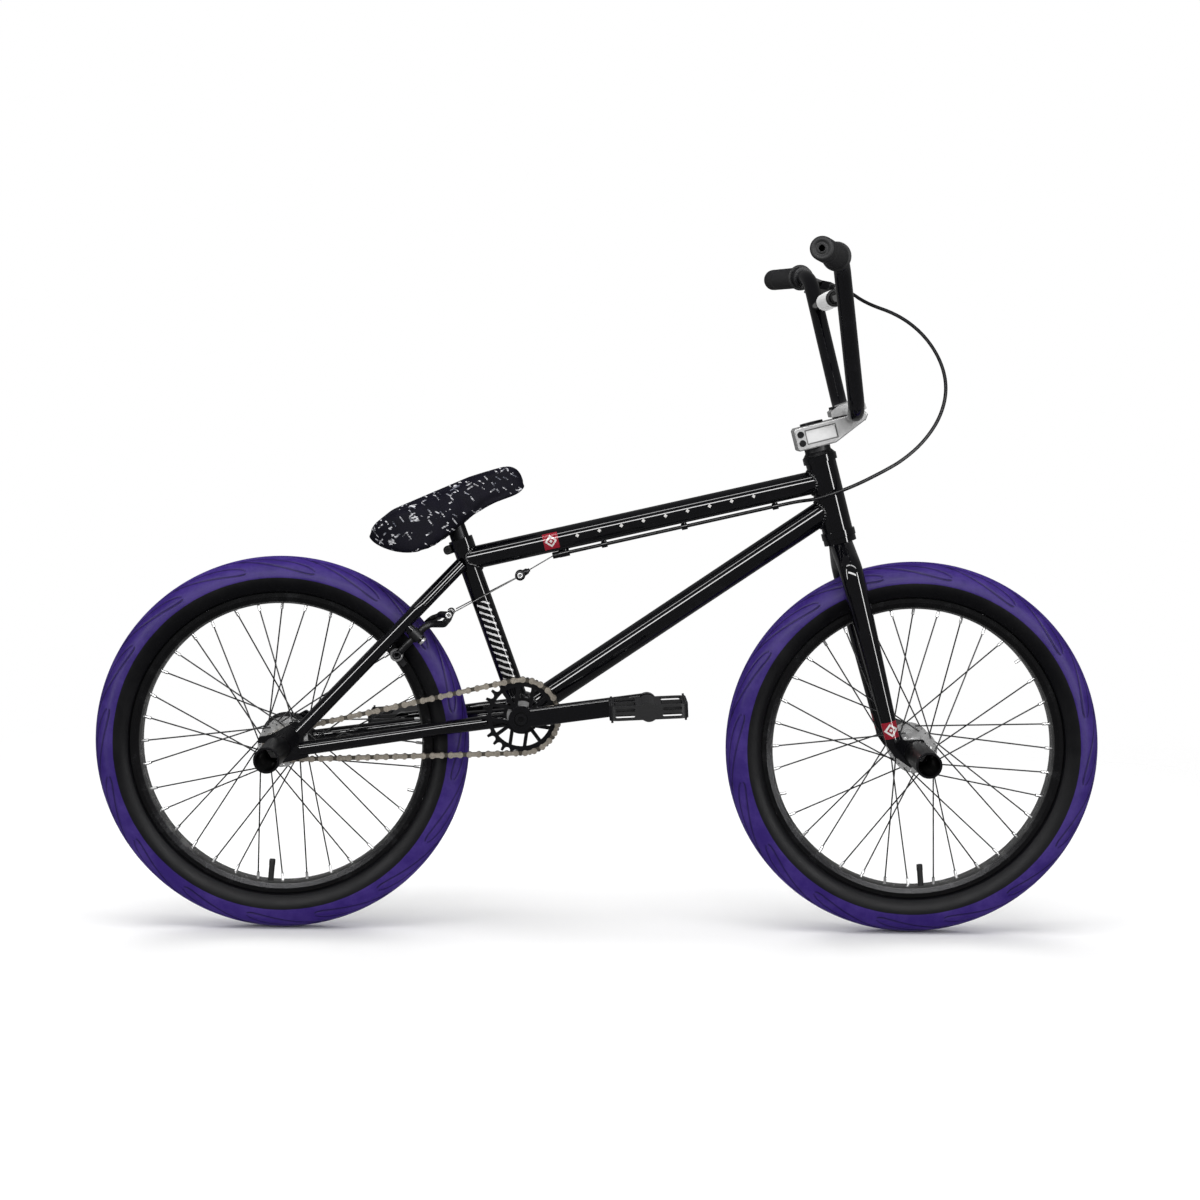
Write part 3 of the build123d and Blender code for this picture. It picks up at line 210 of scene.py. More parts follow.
# Studio: pale floor and white surroundings, soft banks for fill and narrow strips for the tubes
studio = {
    "floorSize": 8.0, "fadeFrom": 0.75, "fadeTo": 2.3,
    "seen": 1.0, "mirrored": 0.16, "fill": 0.50,
    "lights": [
        # name, place, aim, size, power: a bank gives soft light, a strip is only mirrored
        ("overhead_bank", (0.0, -0.6, 3.2), (0.0, 0.0, 0.4), (3.6, 2.2), 74),
        ("overhead_strip", (0.0, -1.5, 2.7), (0.0, 0.0, 0.5), (4.4, 0.24), 42),
        ("front_strip", (-0.2, -3.0, 1.75), (0.0, 0.0, 0.5), (4.4, 0.42), 120),
        ("rear_bank", (-0.5, 2.4, 2.2), (0.0, 0.0, 0.5), (3.0, 1.2), 34),
        ("right_strip", (2.5, -2.2, 1.0), (0.2, 0.0, 0.6), (0.40, 2.4), 60),
        ("left_strip", (-2.7, -1.8, 1.0), (-0.2, 0.0, 0.6), (0.30, 2.2), 40),
        ("front_bank", (0.4, -3.2, 2.4), (0.0, 0.0, 0.5), (2.0, 1.4), 16),
    ],
}


# Gloss black enamel, with its slight orange peel and a little dust
enamel = {"base": (0.002, 0.002, 0.003, 1), "dust": (0.009, 0.009, 0.011, 1), "peel": 0.00001}


def enamelCoat(name, decal=None):
    coat = Finish(name)
    point = coat.place()
    dust = coat.band(coat.cloud(point, 38, 6, 0.7), 0.52, 0.78)
    colour = coat.mix(dust * 0.5, enamel["base"], enamel["dust"])
    roughness = 0.05 + dust * 0.07 + coat.cloud(point, 9) * 0.02
    if decal:
        colour, roughness = decal(coat, point, colour, roughness)
    peel = coat.cloud(point, 420, 2)
    return coat.surface({
        "Base Color": colour, "Roughness": roughness, "Specular IOR Level": 0.35,
        "Coat Weight": 0.4, "Coat Roughness": 0.015, "Coat IOR": 1.4,
        "Normal": coat.bump(peel, enamel["peel"], 0.1),
    })


def tubeMeasure(coat, point, start, end):
    # how far along a tube, and how high on its side, from its rear end
    along = (end - start).normalized()
    upright = along.cross(sideways).normalized()
    if upright.z < 0:
        upright = -upright
    offset = coat.add("ShaderNodeVectorMath", {"operation": "SUBTRACT"}, {0: point, 1: start})
    return coat.dot(offset, along), coat.dot(offset, upright)


badge = {
    "topTubeAt": 0.118, "size": 0.0105, "red": (0.30, 0.008, 0.022, 1),
    "ink": (0.75, 0.74, 0.72, 1), "rowStart": 0.155, "rowEnd": 0.405, "rowPitch": 0.031,
    "rowSize": 0.0028,
}


def plainBadge(coat, along, height, at, size):
    # a red patch with a broken white diamond
    x = abs(along - at)
    y = abs(height)
    patch = (x < size) * (y < size * 1.05)
    diamond = x + y
    ring = (diamond < size * 0.82) * (diamond > size * 0.5)
    dot = diamond < size * 0.22
    return patch, (ring + dot) * patch


def topTubeMarks(coat, point, colour, roughness):
    along, height = tubeMeasure(coat, point, topTubeRear, topTubeFront)
    patch, ink = plainBadge(coat, along, height, badge["topTubeAt"], badge["size"])
    worn = coat.cloud(point, 900, 3) > 0.40
    step = coat.sum("PINGPONG", along - badge["rowStart"], badge["rowPitch"] / 2)
    diamond = step + abs(height)
    row = (diamond < badge["rowSize"]) * (along > badge["rowStart"] - 0.004)
    row = row * (along < badge["rowEnd"])
    colour = coat.mix(patch, colour, badge["red"])
    colour = coat.mix(ink * worn, colour, badge["ink"])
    colour = coat.mix(row, colour, badge["ink"])
    return colour, roughness + (patch + row) * 0.12


strokes = {"from": 0.052, "to": 0.165, "pitch": 0.0098, "half": 0.0085, "ink": (0.78, 0.78, 0.78, 1)}


def seatTubeMarks(coat, point, colour, roughness):
    # slanted brush strokes up the side of the seat tube
    along, height = tubeMeasure(coat, point, bottomBracket, topTubeRear)
    fray = coat.cloud(point, 260, 4) * 0.0032
    step = coat.sum("PINGPONG", along + height * 0.75 + fray, strokes["pitch"] / 2)
    stroke = (step < strokes["pitch"] * 0.16) * (abs(height + fray - 0.0016) < strokes["half"])
    stroke = stroke * (along > strokes["from"]) * (along < strokes["to"])
    return coat.mix(stroke, colour, strokes["ink"]), roughness + stroke * 0.15


forkBadge = {"up": 0.0405, "size": 0.0115, "outerFace": 0.050}


def forkMarks(coat, point, colour, roughness):
    foot = headBottom - steerUp * tubes["legLength"]
    forward = sideways.cross(steerUp).normalized()
    offset = coat.add("ShaderNodeVectorMath", {"operation": "SUBTRACT"}, {0: point, 1: foot})
    along = coat.dot(offset, steerUp)
    across = coat.dot(offset, forward)
    patch, ink = plainBadge(coat, along, across, forkBadge["up"], forkBadge["size"])
    outer = abs(coat.dot(point, sideways)) > forkBadge["outerFace"]
    colour = coat.mix(patch * outer, colour, badge["red"])
    return coat.mix(ink * outer, colour, badge["ink"]), roughness + patch * 0.1


# Satin black plating on small parts, a little grey on worn edges
def satinBlack(name, base=0.008, shine=0.34, metal=0.3):
    coat = Finish(name)
    point = coat.place()
    mottle = coat.cloud(point, 55, 5, 0.6)
    scuff = coat.band(coat.cloud(point, 210, 6, 0.75), 0.60, 0.80)
    colour = coat.mix(mottle, grey(base * 0.6, 0.001), grey(base * 1.5, 0.002))
    colour = coat.mix(scuff * 0.30, colour, grey(0.10))
    return coat.surface({
        "Base Color": colour, "Metallic": metal, "Roughness": shine + mottle * 0.12 - scuff * 0.05,
        "Specular IOR Level": 0.4, "Normal": coat.bump(coat.cloud(point, 900, 3), 0.00005, 0.5),
    })


# Bare metals: level is the tone, grain the brushing, turned about one axis
def bareMetal(name, level, shine, stretch=(1, 1, 1), tint=(1, 1, 1), metal=0.6, decal=None):
    coat = Finish(name)
    point = coat.place(scale=stretch)
    brush = coat.cloud(point, 300, 5, 0.65)
    patchy = coat.cloud(coat.place(), 40, 4)
    light = tuple(level * t for t in tint) + (1,)
    dark = tuple(level * t * 0.72 for t in tint) + (1,)
    colour = coat.mix(coat.band(patchy * 0.6 + brush * 0.4, 0.3, 0.7), dark, light)
    if decal:
        colour = decal(coat, coat.place(), colour)
    return coat.surface({
        "Base Color": colour, "Metallic": metal, "Roughness": shine + brush * 0.14 + patchy * 0.06,
        "Normal": coat.bump(brush, 0.00006, 0.5),
    })


pocket = {
    "up": 0.4540, "halfHeight": 0.0094, "forward": 0.0080, "halfLength": 0.0210,
    "outerFace": 0.0205,
}


def stemPocketPaintedShade(coat, point, colour):
    # painted shade along the edge of the milled pocket on each side of the stem, and a painted
    # highlight inside it
    foot = headBottom - steerUp * tubes["legLength"]
    forward = sideways.cross(steerUp).normalized()
    offset = coat.add("ShaderNodeVectorMath", {"operation": "SUBTRACT"}, {0: point, 1: foot})
    rise = abs(coat.dot(offset, steerUp) - pocket["up"]) - pocket["halfHeight"]
    reach = abs(coat.dot(offset, forward) - pocket["forward"]) - pocket["halfLength"]
    edge = coat.sum("MAXIMUM", rise, reach)
    outer = abs(coat.dot(point, sideways)) > pocket["outerFace"]
    # painted shade: a dark line along the pocket's edge; painted light: the pocket's floor made paler
    line = (1.0 - coat.band(abs(edge), 0.0003, 0.0013)) * outer
    paintedLightInside = (edge < 0.0) * outer
    colour = coat.mix(paintedLightInside * 0.45, colour, grey(0.85))
    return coat.mix(line * 0.9, colour, grey(0.05))


links = {"innerPlate": 0.0017, "outerPlate": 0.0028}


def chainToneAndShade(coat, point, colour):
    # outer plates keep the bright metal; inner plates are painted duller and rollers near black, as
    # painted shade in the gaps between the plates
    across = abs(coat.dot(point, sideways) - chainAt)
    # painted shade: darker the further in from the outer plates
    inner = coat.mix(across > links["innerPlate"], grey(0.02), (0.10, 0.088, 0.07, 1))
    shine = coat.band(across, links["outerPlate"], links["outerPlate"] + 0.0002)
    speck = coat.cloud(point, 700, 3) * shine
    return coat.mix(speck * 1.6, inner, colour)


def moulded(name, level, shine, grain=700, depth=0.00008):
    coat = Finish(name)
    point = coat.place()
    pores = coat.cells(point, grain)
    haze = coat.cloud(point, 24, 5)
    return coat.surface({
        "Base Color": coat.mix(haze, grey(level * 0.7, 0.001), grey(level * 1.3, 0.002)),
        "Roughness": shine + haze * 0.14, "Specular IOR Level": 0.35,
        "Normal": coat.bump(pores, depth, 0.7),
    })


def wheelRadius(coat, point, centre):
    offset = coat.add("ShaderNodeVectorMath", {"operation": "SUBTRACT"}, {0: point, 1: centre})
    x, y, z = coat.split(offset)
    return coat.sum("SQRT", x * x + z * z), y


# groove is the colour of painted shade in the tread grooves
tread = {
    "violet": (0.028, 0.010, 0.150, 1), "bloom": (0.050, 0.024, 0.205, 1),
    "groove": (0.006, 0.002, 0.03, 1), "wall": (0.002, 0.002, 0.0035, 1),
    "edge": 0.2305, "section": 0.028, "wallThickness": 0.0035, "beadRadius": 0.2093,
    "repeats": 16, "steps": 720, "depth": 0.0011, "crown": 0.0279,
}


def tyreRubber(name, centre):
    coat = Finish(name)
    point = coat.place()
    radius, side = wheelRadius(coat, point, centre)
    depth = coat.add("ShaderNodeAttribute", {"attribute_name": "tread"}, out=2)
    ragged = coat.cloud(point, 60, 3) * 0.0008
    violet = coat.band(radius + ragged, tread["edge"], tread["edge"] + 0.0006)
    bloom = coat.band(coat.cloud(point, 22, 6, 0.7), 0.36, 0.70)
    dyeWithGrooveShade = coat.mix(bloom, tread["violet"], tread["bloom"])
    # painted shade: the tread grooves darkened by their depth
    dyeWithGrooveShade = coat.mix(depth, dyeWithGrooveShade, tread["groove"])
    rings = coat.sum("SINE", radius * 3600.0)
    grain = coat.cells(point, 1500)
    height = grain * 0.6 + rings * (1 - violet) * 0.5
    return coat.surface({
        "Base Color": coat.mix(violet, tread["wall"], dyeWithGrooveShade),
        "Roughness": 0.38 + bloom * 0.12, "Specular IOR Level": 0.15,
        "Normal": coat.bump(height, 0.00010, 0.55),
    })


wheelMarks = {"bedFrom": 0.1955, "bedTo": 0.1975, "nippleFrom": 0.1855}


def rimPaint(name, centre):
    coat = Finish(name)
    point = coat.place()
    radius, side = wheelRadius(coat, point, centre)
    lathe = coat.sum("SINE", radius * 9000.0) * 0.5 + coat.cloud(point, 260, 4) * 0.5
    rub = coat.band(coat.cloud(point, 30, 6, 0.7), 0.5, 0.75)
    bed = 1.0 - coat.band(radius, wheelMarks["bedFrom"], wheelMarks["bedTo"])
    colour = coat.mix(rub * 0.5, grey(0.006, 0.001), grey(0.025, 0.003))
    return coat.surface({
        "Base Color": coat.mix(bed, colour, coat.mix(rub, grey(0.06), grey(0.15))),
        "Metallic": 0.6 - bed * 0.4, "Roughness": 0.24 + rub * 0.1,
        "Normal": coat.bump(lathe, 0.00003, 0.5),
    })


def spokeSteel(name, centre):
    coat = Finish(name)
    point = coat.place()
    radius, side = wheelRadius(coat, point, centre)
    nipple = radius > wheelMarks["nippleFrom"]
    streak = coat.cloud(point, 500, 3)
    colour = coat.mix(streak, grey(0.008), grey(0.022, 0.002))
    return coat.surface({
        "Base Color": coat.mix(nipple, colour, grey(0.78)),
        "Metallic": 0.35 + nipple * 0.65, "Roughness": 0.30 + streak * 0.1,
        "Normal": coat.bump(streak, 0.00002, 0.5),
    })


def seatFabric(name):
    # woven black cloth printed with broken white and grey shards, laid in several directions
    coat = Finish(name)
    point = coat.place()
    ink = 0.0
    for turn, scale, half, rare in (
        ((0.25, 0.62, 0.15), 84, (0.0046, 0.0050, 0.0010), 0.60),
        ((0.15, -0.88, 0.35), 84, (0.0042, 0.0050, 0.0009), 0.64),
        ((0.40, 0.20, 0.60), 50, (0.0042, 0.0065, 0.0030), 0.74),
        ((0.10, -0.50, 0.90), 96, (0.0036, 0.0044, 0.0008), 0.66),
    ):
        laid = coat.place(turn=turn)
        lot = coat.split(coat.cells(laid, scale, out=1))[0]
        offset = coat.add(
            "ShaderNodeVectorMath", {"operation": "SUBTRACT"},
            {0: laid, 1: coat.cells(laid, scale, out=2)},
        )
        across, deep, thick = coat.split(offset)
        shard = (abs(across) < half[0]) * (abs(deep) < half[1]) * (abs(thick) < half[2])
        streak = coat.band(coat.cloud(coat.place(turn=turn, scale=(1, 1, 4)), 210, 4), 0.40, 0.58)
        ink = coat.sum("MAXIMUM", shard * (lot > rare) * streak * (0.2 + lot * 0.8), ink)
    pale = coat.cloud(point, 75, 2)
    weave = coat.sum("SINE", coat.dot(point, (5200.0, 0, 2200.0)))
    weft = coat.sum("SINE", coat.dot(point, (0, 5200.0, 2200.0)))
    cloth = coat.mix(pale, (0.002, 0.002, 0.005, 1), (0.007, 0.006, 0.015, 1))
    printed = coat.mix(coat.band(pale, 0.38, 0.54), (0.20, 0.21, 0.26, 1), (0.85, 0.85, 0.88, 1))
    return coat.surface({
        "Base Color": coat.mix(ink, cloth, printed),
        "Roughness": 0.60 + pale * 0.16, "Specular IOR Level": 0.08,
        "Normal": coat.bump(weave * weft, 0.00012, 0.6),
    })


def wrapCloth(name):
    coat = Finish(name)
    point = coat.place()
    weave = coat.sum("SINE", coat.dot(point, (4000.0, 0, 0)))
    weft = coat.sum("SINE", coat.dot(point, (0, 3600.0, 0)))
    soil = coat.cloud(point, 45, 5)
    return coat.surface({
        "Base Color": coat.mix(soil, grey(0.56), grey(0.80)), "Roughness": 0.75 + soil * 0.1,
        "Normal": coat.bump(weave * weft + soil, 0.00015, 0.6),
    })


def floorPaper(name):
    # white paper that fades into the white surroundings
    coat = Finish(name)
    point = coat.place()
    x, y, z = coat.split(point)
    tone = coat.cloud(point, 1.2, 3)
    reach = coat.sum("SQRT", x * x * 0.6 + y * y)
    return coat.surface({
        "Base Color": coat.mix(tone, grey(0.93), grey(0.97)), "Roughness": 0.85,
        "Specular IOR Level": 0.1,
        "Alpha": 1.0 - coat.band(reach, studio["fadeFrom"], studio["fadeTo"]),
    })


enamelPlain = enamelCoat("gloss_enamel")
satin = satinBlack("satin_black")
satinDeep = satinBlack("satin_black_machined", 0.005, 0.24, 0.5)
polished = bareMetal("polished_alloy", 0.80, 0.12, (1, 0.1, 1))
tumbled = bareMetal("tumbled_alloy", 0.44, 0.30, (1, 0.15, 1), decal=stemPocketPaintedShade)
zinc = bareMetal("bright_zinc", 0.62, 0.22, (1, 0.2, 1))
chainPlate = bareMetal("aged_nickel", 0.55, 0.22, tint=(1.0, 0.90, 0.76), decal=chainToneAndShade)
wireSteel = bareMetal("drawn_wire", 0.16, 0.25)
nylon = moulded("moulded_nylon", 0.005, 0.38)
rubber = moulded("moulded_rubber", 0.005, 0.55, 1100)
gripRubber = moulded("grip_rubber", 0.007, 0.52, 1300)
casing = moulded("cable_casing", 0.003, 0.30, 900, 0.000002)

dressing = {
    "head_tube": enamelPlain, "down_tube": enamelPlain, "bb_shell": enamelPlain,
    "chainstays": enamelPlain, "seatstays": enamelPlain, "dropouts": enamelPlain,
    "brake_bosses": enamelPlain, "cable_guides": enamelPlain, "steerer_tube": enamelPlain,
    "fork_dropouts": enamelPlain, "handlebar": enamelPlain, "handlebar_crossbar": enamelPlain,
    "rear_pegs": satinDeep, "front_pegs": satinDeep,
    "top_tube": enamelCoat("gloss_enamel_top_tube", topTubeMarks),
    "seat_tube": enamelCoat("gloss_enamel_seat_tube", seatTubeMarks),
    "fork_legs": enamelCoat("gloss_enamel_fork", forkMarks),
    "seat_clamp": enamelPlain, "seat_clamp_bolt": satin, "seat_post": satinDeep,
    "headset_spacer": satin, "headset_bearings": zinc, "stem": tumbled, "stem_cap": tumbled,
    "stem_bolts": satinDeep, "stem_top_cap": satinDeep, "bb_bearings": zinc,
    "crank_spindle": satinDeep, "crank_arm_right": enamelPlain, "crank_arm_left": enamelPlain,
    "sprocket": satinDeep, "driver_cog": satinDeep, "chain": chainPlate,
    "pedal_right": nylon, "pedal_left": nylon, "pedal_spindles": zinc,
    "front_axle": zinc, "rear_axle": zinc, "front_axle_nuts": zinc, "rear_axle_nuts": zinc,
    "front_hub": polished, "rear_hub": polished, "hub_guard": nylon,
    "brake_arm_right": satin, "brake_arm_left": satin, "straddle_cable": wireSteel,
    "brake_housing": casing, "lever_clamp": satin, "brake_lever": satin,
    "front_rim": rimPaint("rim_front", hubs["front"]),
    "rear_rim": rimPaint("rim_rear", hubs["rear"]),
    "front_spokes": spokeSteel("spokes_front", hubs["front"]),
    "rear_spokes": spokeSteel("spokes_rear", hubs["rear"]),
    "front_inner_tube": rubber, "rear_inner_tube": rubber,
    "front_tyre": rubber, "rear_tyre": rubber, "grips": gripRubber, "saddle": nylon,
    "brake_cable_loop": casing,
}
for node, material in dressing.items():
    mesh = frame["nodes"][node].data
    mesh.materials.clear()
    mesh.materials.append(material)
print("finishes made", len(dressing))


# Mesh helpers
def newPiece(name, mesh, material, body, smooth=True):
    mesh.name = name
    piece = bpy.data.objects.new(name, mesh)
    bpy.context.scene.collection.objects.link(piece)
    mesh.materials.clear()
    mesh.materials.append(material)
    if smooth:
        mesh.polygons.foreach_set("use_smooth", [True] * len(mesh.polygons))
    if body:
        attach(piece, body)
    return piece


def toMesh(shape, name):
    mesh = bpy.data.meshes.new(name)
    bmesh.ops.recalc_face_normals(shape, faces=shape.faces[:])
    shape.to_mesh(mesh)
    shape.free()
    return mesh


def profileLoop(shape, points, closed):
    corners = [shape.verts.new(p) for p in points]
    pairs = list(zip(corners, corners[1:]))
    if closed:
        pairs.append((corners[-1], corners[0]))
    return corners + [shape.edges.new(pair) for pair in pairs]


def turned(shape, profile, centre, axis, steps):
    bmesh.ops.spin(
        shape, geom=profile, cent=centre, axis=axis, angle=math.tau, steps=steps,
        use_merge=True, use_duplicate=False,
    )
    bmesh.ops.remove_doubles(shape, verts=shape.verts[:], dist=1e-6)


def lathe(name, start, axis, profile, steps, closed=True):
    # profile is a list of (along, radius) from start
    shape = bmesh.new()
    axis = Vector(axis).normalized()
    out = axis.orthogonal().normalized()
    points = [Vector(start) + axis * a + out * max(r, 1e-5) for a, r in profile]
    turned(shape, profileLoop(shape, points, closed), Vector(start), axis, steps)
    return toMesh(shape, name)


# Tyres: a moulded section spun about the hub, then the tread pressed into it
def treadDepth(along, across, pitch):
    # leaf-shaped pads, each outlined by a thin groove, and a long groove up to the crown
    depth = 0.0
    raised = 0.0
    side = 0.0 if across > 0 else pitch / 2
    reach = abs(across)
    for back in (-1, 0, 1):
        t = ((along + side) % pitch - back * pitch) / (pitch * 1.08)
        if 0.0 < t < 1.0:
            spine = 33.0 - 21.0 * t
            half = 6.2 * math.sin(math.pi * t ** 0.55) ** 0.7
            edge = abs(abs(reach - spine) - half)
            depth = max(depth, 1.0 - edge / 1.6)
            if abs(reach - spine) < half:
                raised = 0.35
        t = ((along + side) % pitch - back * pitch) / (pitch * 0.62)
        if 0.0 < t < 1.0:
            line = 3.0 + 13.0 * (1.0 - t) ** 1.6
            depth = max(depth, 1.0 - abs(reach - line) / 1.4)
    return max(depth, 0.0), raised


def makeTyre(end):
    centre = hubs[end]
    crown = tyreRadius - tread["section"]
    sweep = math.acos((tread["beadRadius"] - crown) / tread["section"])
    shape = bmesh.new()
    turns = []
    fine = 46
    shoulder = math.radians(92.0)
    for k in range(-fine, fine + 1):
        turns.append(shoulder * k / fine)
    low = [shoulder + (sweep - shoulder) * k / 7 for k in range(1, 8)]
    turns = [-a for a in reversed(low)] + turns + low
    outer = [(crown + tread["crown"] * math.cos(a), tread["crown"] * math.sin(a)) for a in turns]
    bore = tread["section"] - tread["wallThickness"]
    inner = [(crown + bore * math.cos(a), bore * math.sin(a))
             for a in [sweep - 2 * sweep * k / 16 for k in range(17)]]
    points = [centre + Vector((r, y, 0)) for r, y in outer + inner]
    turned(shape, profileLoop(shape, points, True), centre, sideways, tread["steps"])
    mesh = toMesh(shape, f"{end}_tyre_tread")
    pitch = 1000.0 * math.tau * tyreRadius / tread["repeats"]
    values = [0.0] * len(mesh.vertices)
    for vert in mesh.vertices:
        offset = vert.co - centre
        radius = math.hypot(offset.x, offset.z)
        rise = (radius - crown) / radius
        outward = Vector((offset.x * rise, offset.y, offset.z * rise))
        if outward.length < bore + 0.001 or radius < tread["edge"]:
            continue
        angle = math.atan2(offset.z, offset.x)
        across = 1000.0 * tread["section"] * math.atan2(offset.y, radius - crown)
        along = 1000.0 * tyreRadius * angle
        depth, raised = treadDepth(along, across, pitch)
        fade = min(1.0, max(0.0, (43.0 - abs(across)) / 3.0))
        vert.co -= outward.normalized() * tread["depth"] * (depth - raised * 0.6 + 0.21) * fade
        values[vert.index] = depth * fade
    # groove depth per vertex, which the tyre material uses to paint shade into the grooves
    attribute = mesh.attributes.new("tread", "FLOAT", "POINT")
    attribute.data.foreach_set("value", values)
    material = tyreRubber(f"tyre_rubber_{end}", centre)
    piece = newPiece(f"{end}_tyre_tread", mesh, material, f"{end}_wheel")
    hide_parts(f"{end}_tyre")
    return piece


for end in ("front", "rear"):
    makeTyre(end)
print("tyres made")

# Grips: ribbed rubber with a flange, a collar and a closed end with a hole
grip = {
    "start": 0.037, "length": 0.123, "radius": 0.0154, "flange": 0.0188, "bore": 0.0112,
    "rib": 0.0021, "ribDepth": 0.0005, "collarAt": 0.088, "endWall": 0.003, "hole": 0.004,
}
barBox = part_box("handlebar")
bar = {"radius": 0.0111, "shoulder": (-0.038, 0.210, 0.197), "gripLine": (-0.039, 0.149, 0.003)}
barCentre = Vector((barBox[1].x - bar["radius"], 0, barBox[0].z + bar["radius"]))
barShoulder = barCentre + Vector(bar["shoulder"])
gripAlong = Vector(bar["gripLine"]).normalized()


def gripProfile():
    steps = [(0, grip["bore"]), (0, grip["flange"] - 0.001), (0.0006, grip["flange"]),
             (0.0024, grip["flange"]), (0.003, grip["flange"] - 0.0008), (0.0036, grip["radius"])]
    along = 0.006
    while along < grip["length"] - 0.012:
        inCollar = abs(along - grip["collarAt"]) < 0.004
        outside = grip["radius"] - (0 if inCollar else 0.0001)
        steps += [(along, outside), (along + grip["rib"] * 0.55, outside)]
        if not inCollar:
            steps += [(along + grip["rib"] * 0.7, outside - grip["ribDepth"]),
                      (along + grip["rib"] * 0.9, outside - grip["ribDepth"])]
        along += grip["rib"]
    length = grip["length"]
    steps += [(length - 0.010, grip["radius"]), (length - 0.0025, grip["radius"] - 0.0002),
              (length - 0.0008, grip["radius"] - 0.0012), (length, grip["radius"] - 0.003),
              (length, 0.0092), (length - 0.0009, 0.0088), (length - 0.0009, 0.0062),
              (length, 0.0058), (length, grip["hole"]), (length - grip["endWall"], grip["hole"]),
              (length - grip["endWall"], grip["bore"])]
    return steps


for side in (-1, 1):
    along = Vector((gripAlong.x, side * gripAlong.y, gripAlong.z))
    shoulder = Vector((barShoulder.x, side * barShoulder.y, barShoulder.z))
    mesh = lathe("grip", shoulder + along * grip["start"], along, gripProfile(), 64)
    name = "grip_left" if side > 0 else "grip_right"
    newPiece(name, mesh, gripRubber, "fork")
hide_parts("grips")
print("grips made")

# Brake cable from the lever to the first guide
cable = {
    "radius": 0.0025, "sides": 12,
    "route": [
        (0.37899, 0.148, 0.878), (0.421, 0.112, 0.861), (0.453, 0.080, 0.833),
        (0.474, 0.052, 0.796), (0.480, 0.028, 0.757), (0.469, 0.008, 0.718),
        (0.444, -0.008, 0.683), (0.413, -0.018, 0.657), (0.384, -0.025, 0.641),
        (0.350, -0.030, 0.624), (0.320, -0.031, 0.612), (0.294, -0.023, 0.603),
    ],
}
leverNormal = -jointAxis("brake_lever_pull")
leverAway = leverNormal.cross(gripAlong).normalized()
leverCentre = barShoulder + gripAlong * 0.030


def leverPoint(out, away):
    return leverCentre + gripAlong * out + leverAway * away


tubeAlong = (topTubeFront - topTubeRear).normalized()
tubeDown = Vector((tubeAlong.z, 0, -tubeAlong.x))


def underTopTube(x, drop=0.0208):
    return topTubeRear + tubeAlong * ((x - topTubeRear.x) / tubeAlong.x) + tubeDown * drop


def smoothCurve(points, radius, sides, name):
    data = bpy.data.curves.new(name, "CURVE")
    data.dimensions = "3D"
    spline = data.splines.new("NURBS")
    spline.points.add(len(points) - 1)
    for slot, point in zip(spline.points, points):
        slot.co = (*point, 1.0)
    spline.order_u = 3
    spline.use_endpoint_u = True
    spline.resolution_u = 12
    data.bevel_depth = radius
    data.bevel_resolution = sides // 4
    data.use_fill_caps = True
    holder = bpy.data.objects.new(name, data)
    bpy.context.scene.collection.objects.link(holder)
    bpy.context.view_layer.update()
    graph = bpy.context.evaluated_depsgraph_get()
    mesh = bpy.data.meshes.new_from_object(holder.evaluated_get(graph))
    bpy.data.objects.remove(holder)
    return mesh


leverExit = leverPoint(-0.036, 0.043)
leverLead = leverPoint(-0.062, 0.0503)
cableRoute = [leverExit, leverLead]
cableRoute += [Vector(p) for p in cable["route"]]
cableRoute += [underTopTube(0.268), underTopTube(0.245)]
cableMesh = smoothCurve(cableRoute, cable["radius"], cable["sides"], "brake_cable")
pathMesh = smoothCurve(cableRoute, 0.0, cable["sides"], "brake_cable_path")
cablePath = [v.co.copy() for v in pathMesh.vertices]
cableLength = sum((b - a).length for a, b in zip(cablePath, cablePath[1:]))
print("cable length", round(cableLength, 4))
cablePiece = newPiece("brake_cable", cableMesh, casing, None)
underTopTube(0.268)
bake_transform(cablePiece)
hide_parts("brake_cable_loop")
print("cable made")

# Saddle: a padded cover over a moulded base
saddleSoft = {
    "voxel": 0.0045, "shrink": 0.0022, "pressure": 4.0, "cap": 0.006, "smooth": 10,
    "baseHalf": 0.026, "stiffness": 12, "frames": 20,
}


def remeshed(mesh, name, voxel):
    holder = bpy.data.objects.new(name, mesh)
    bpy.context.scene.collection.objects.link(holder)
    remesh = holder.modifiers.new("voxels", "REMESH")
    remesh.mode = "VOXEL"
    remesh.voxel_size = voxel
    bpy.context.view_layer.update()
    graph = bpy.context.evaluated_depsgraph_get()
    made = bpy.data.meshes.new_from_object(holder.evaluated_get(graph))
    bpy.data.objects.remove(holder)
    return made


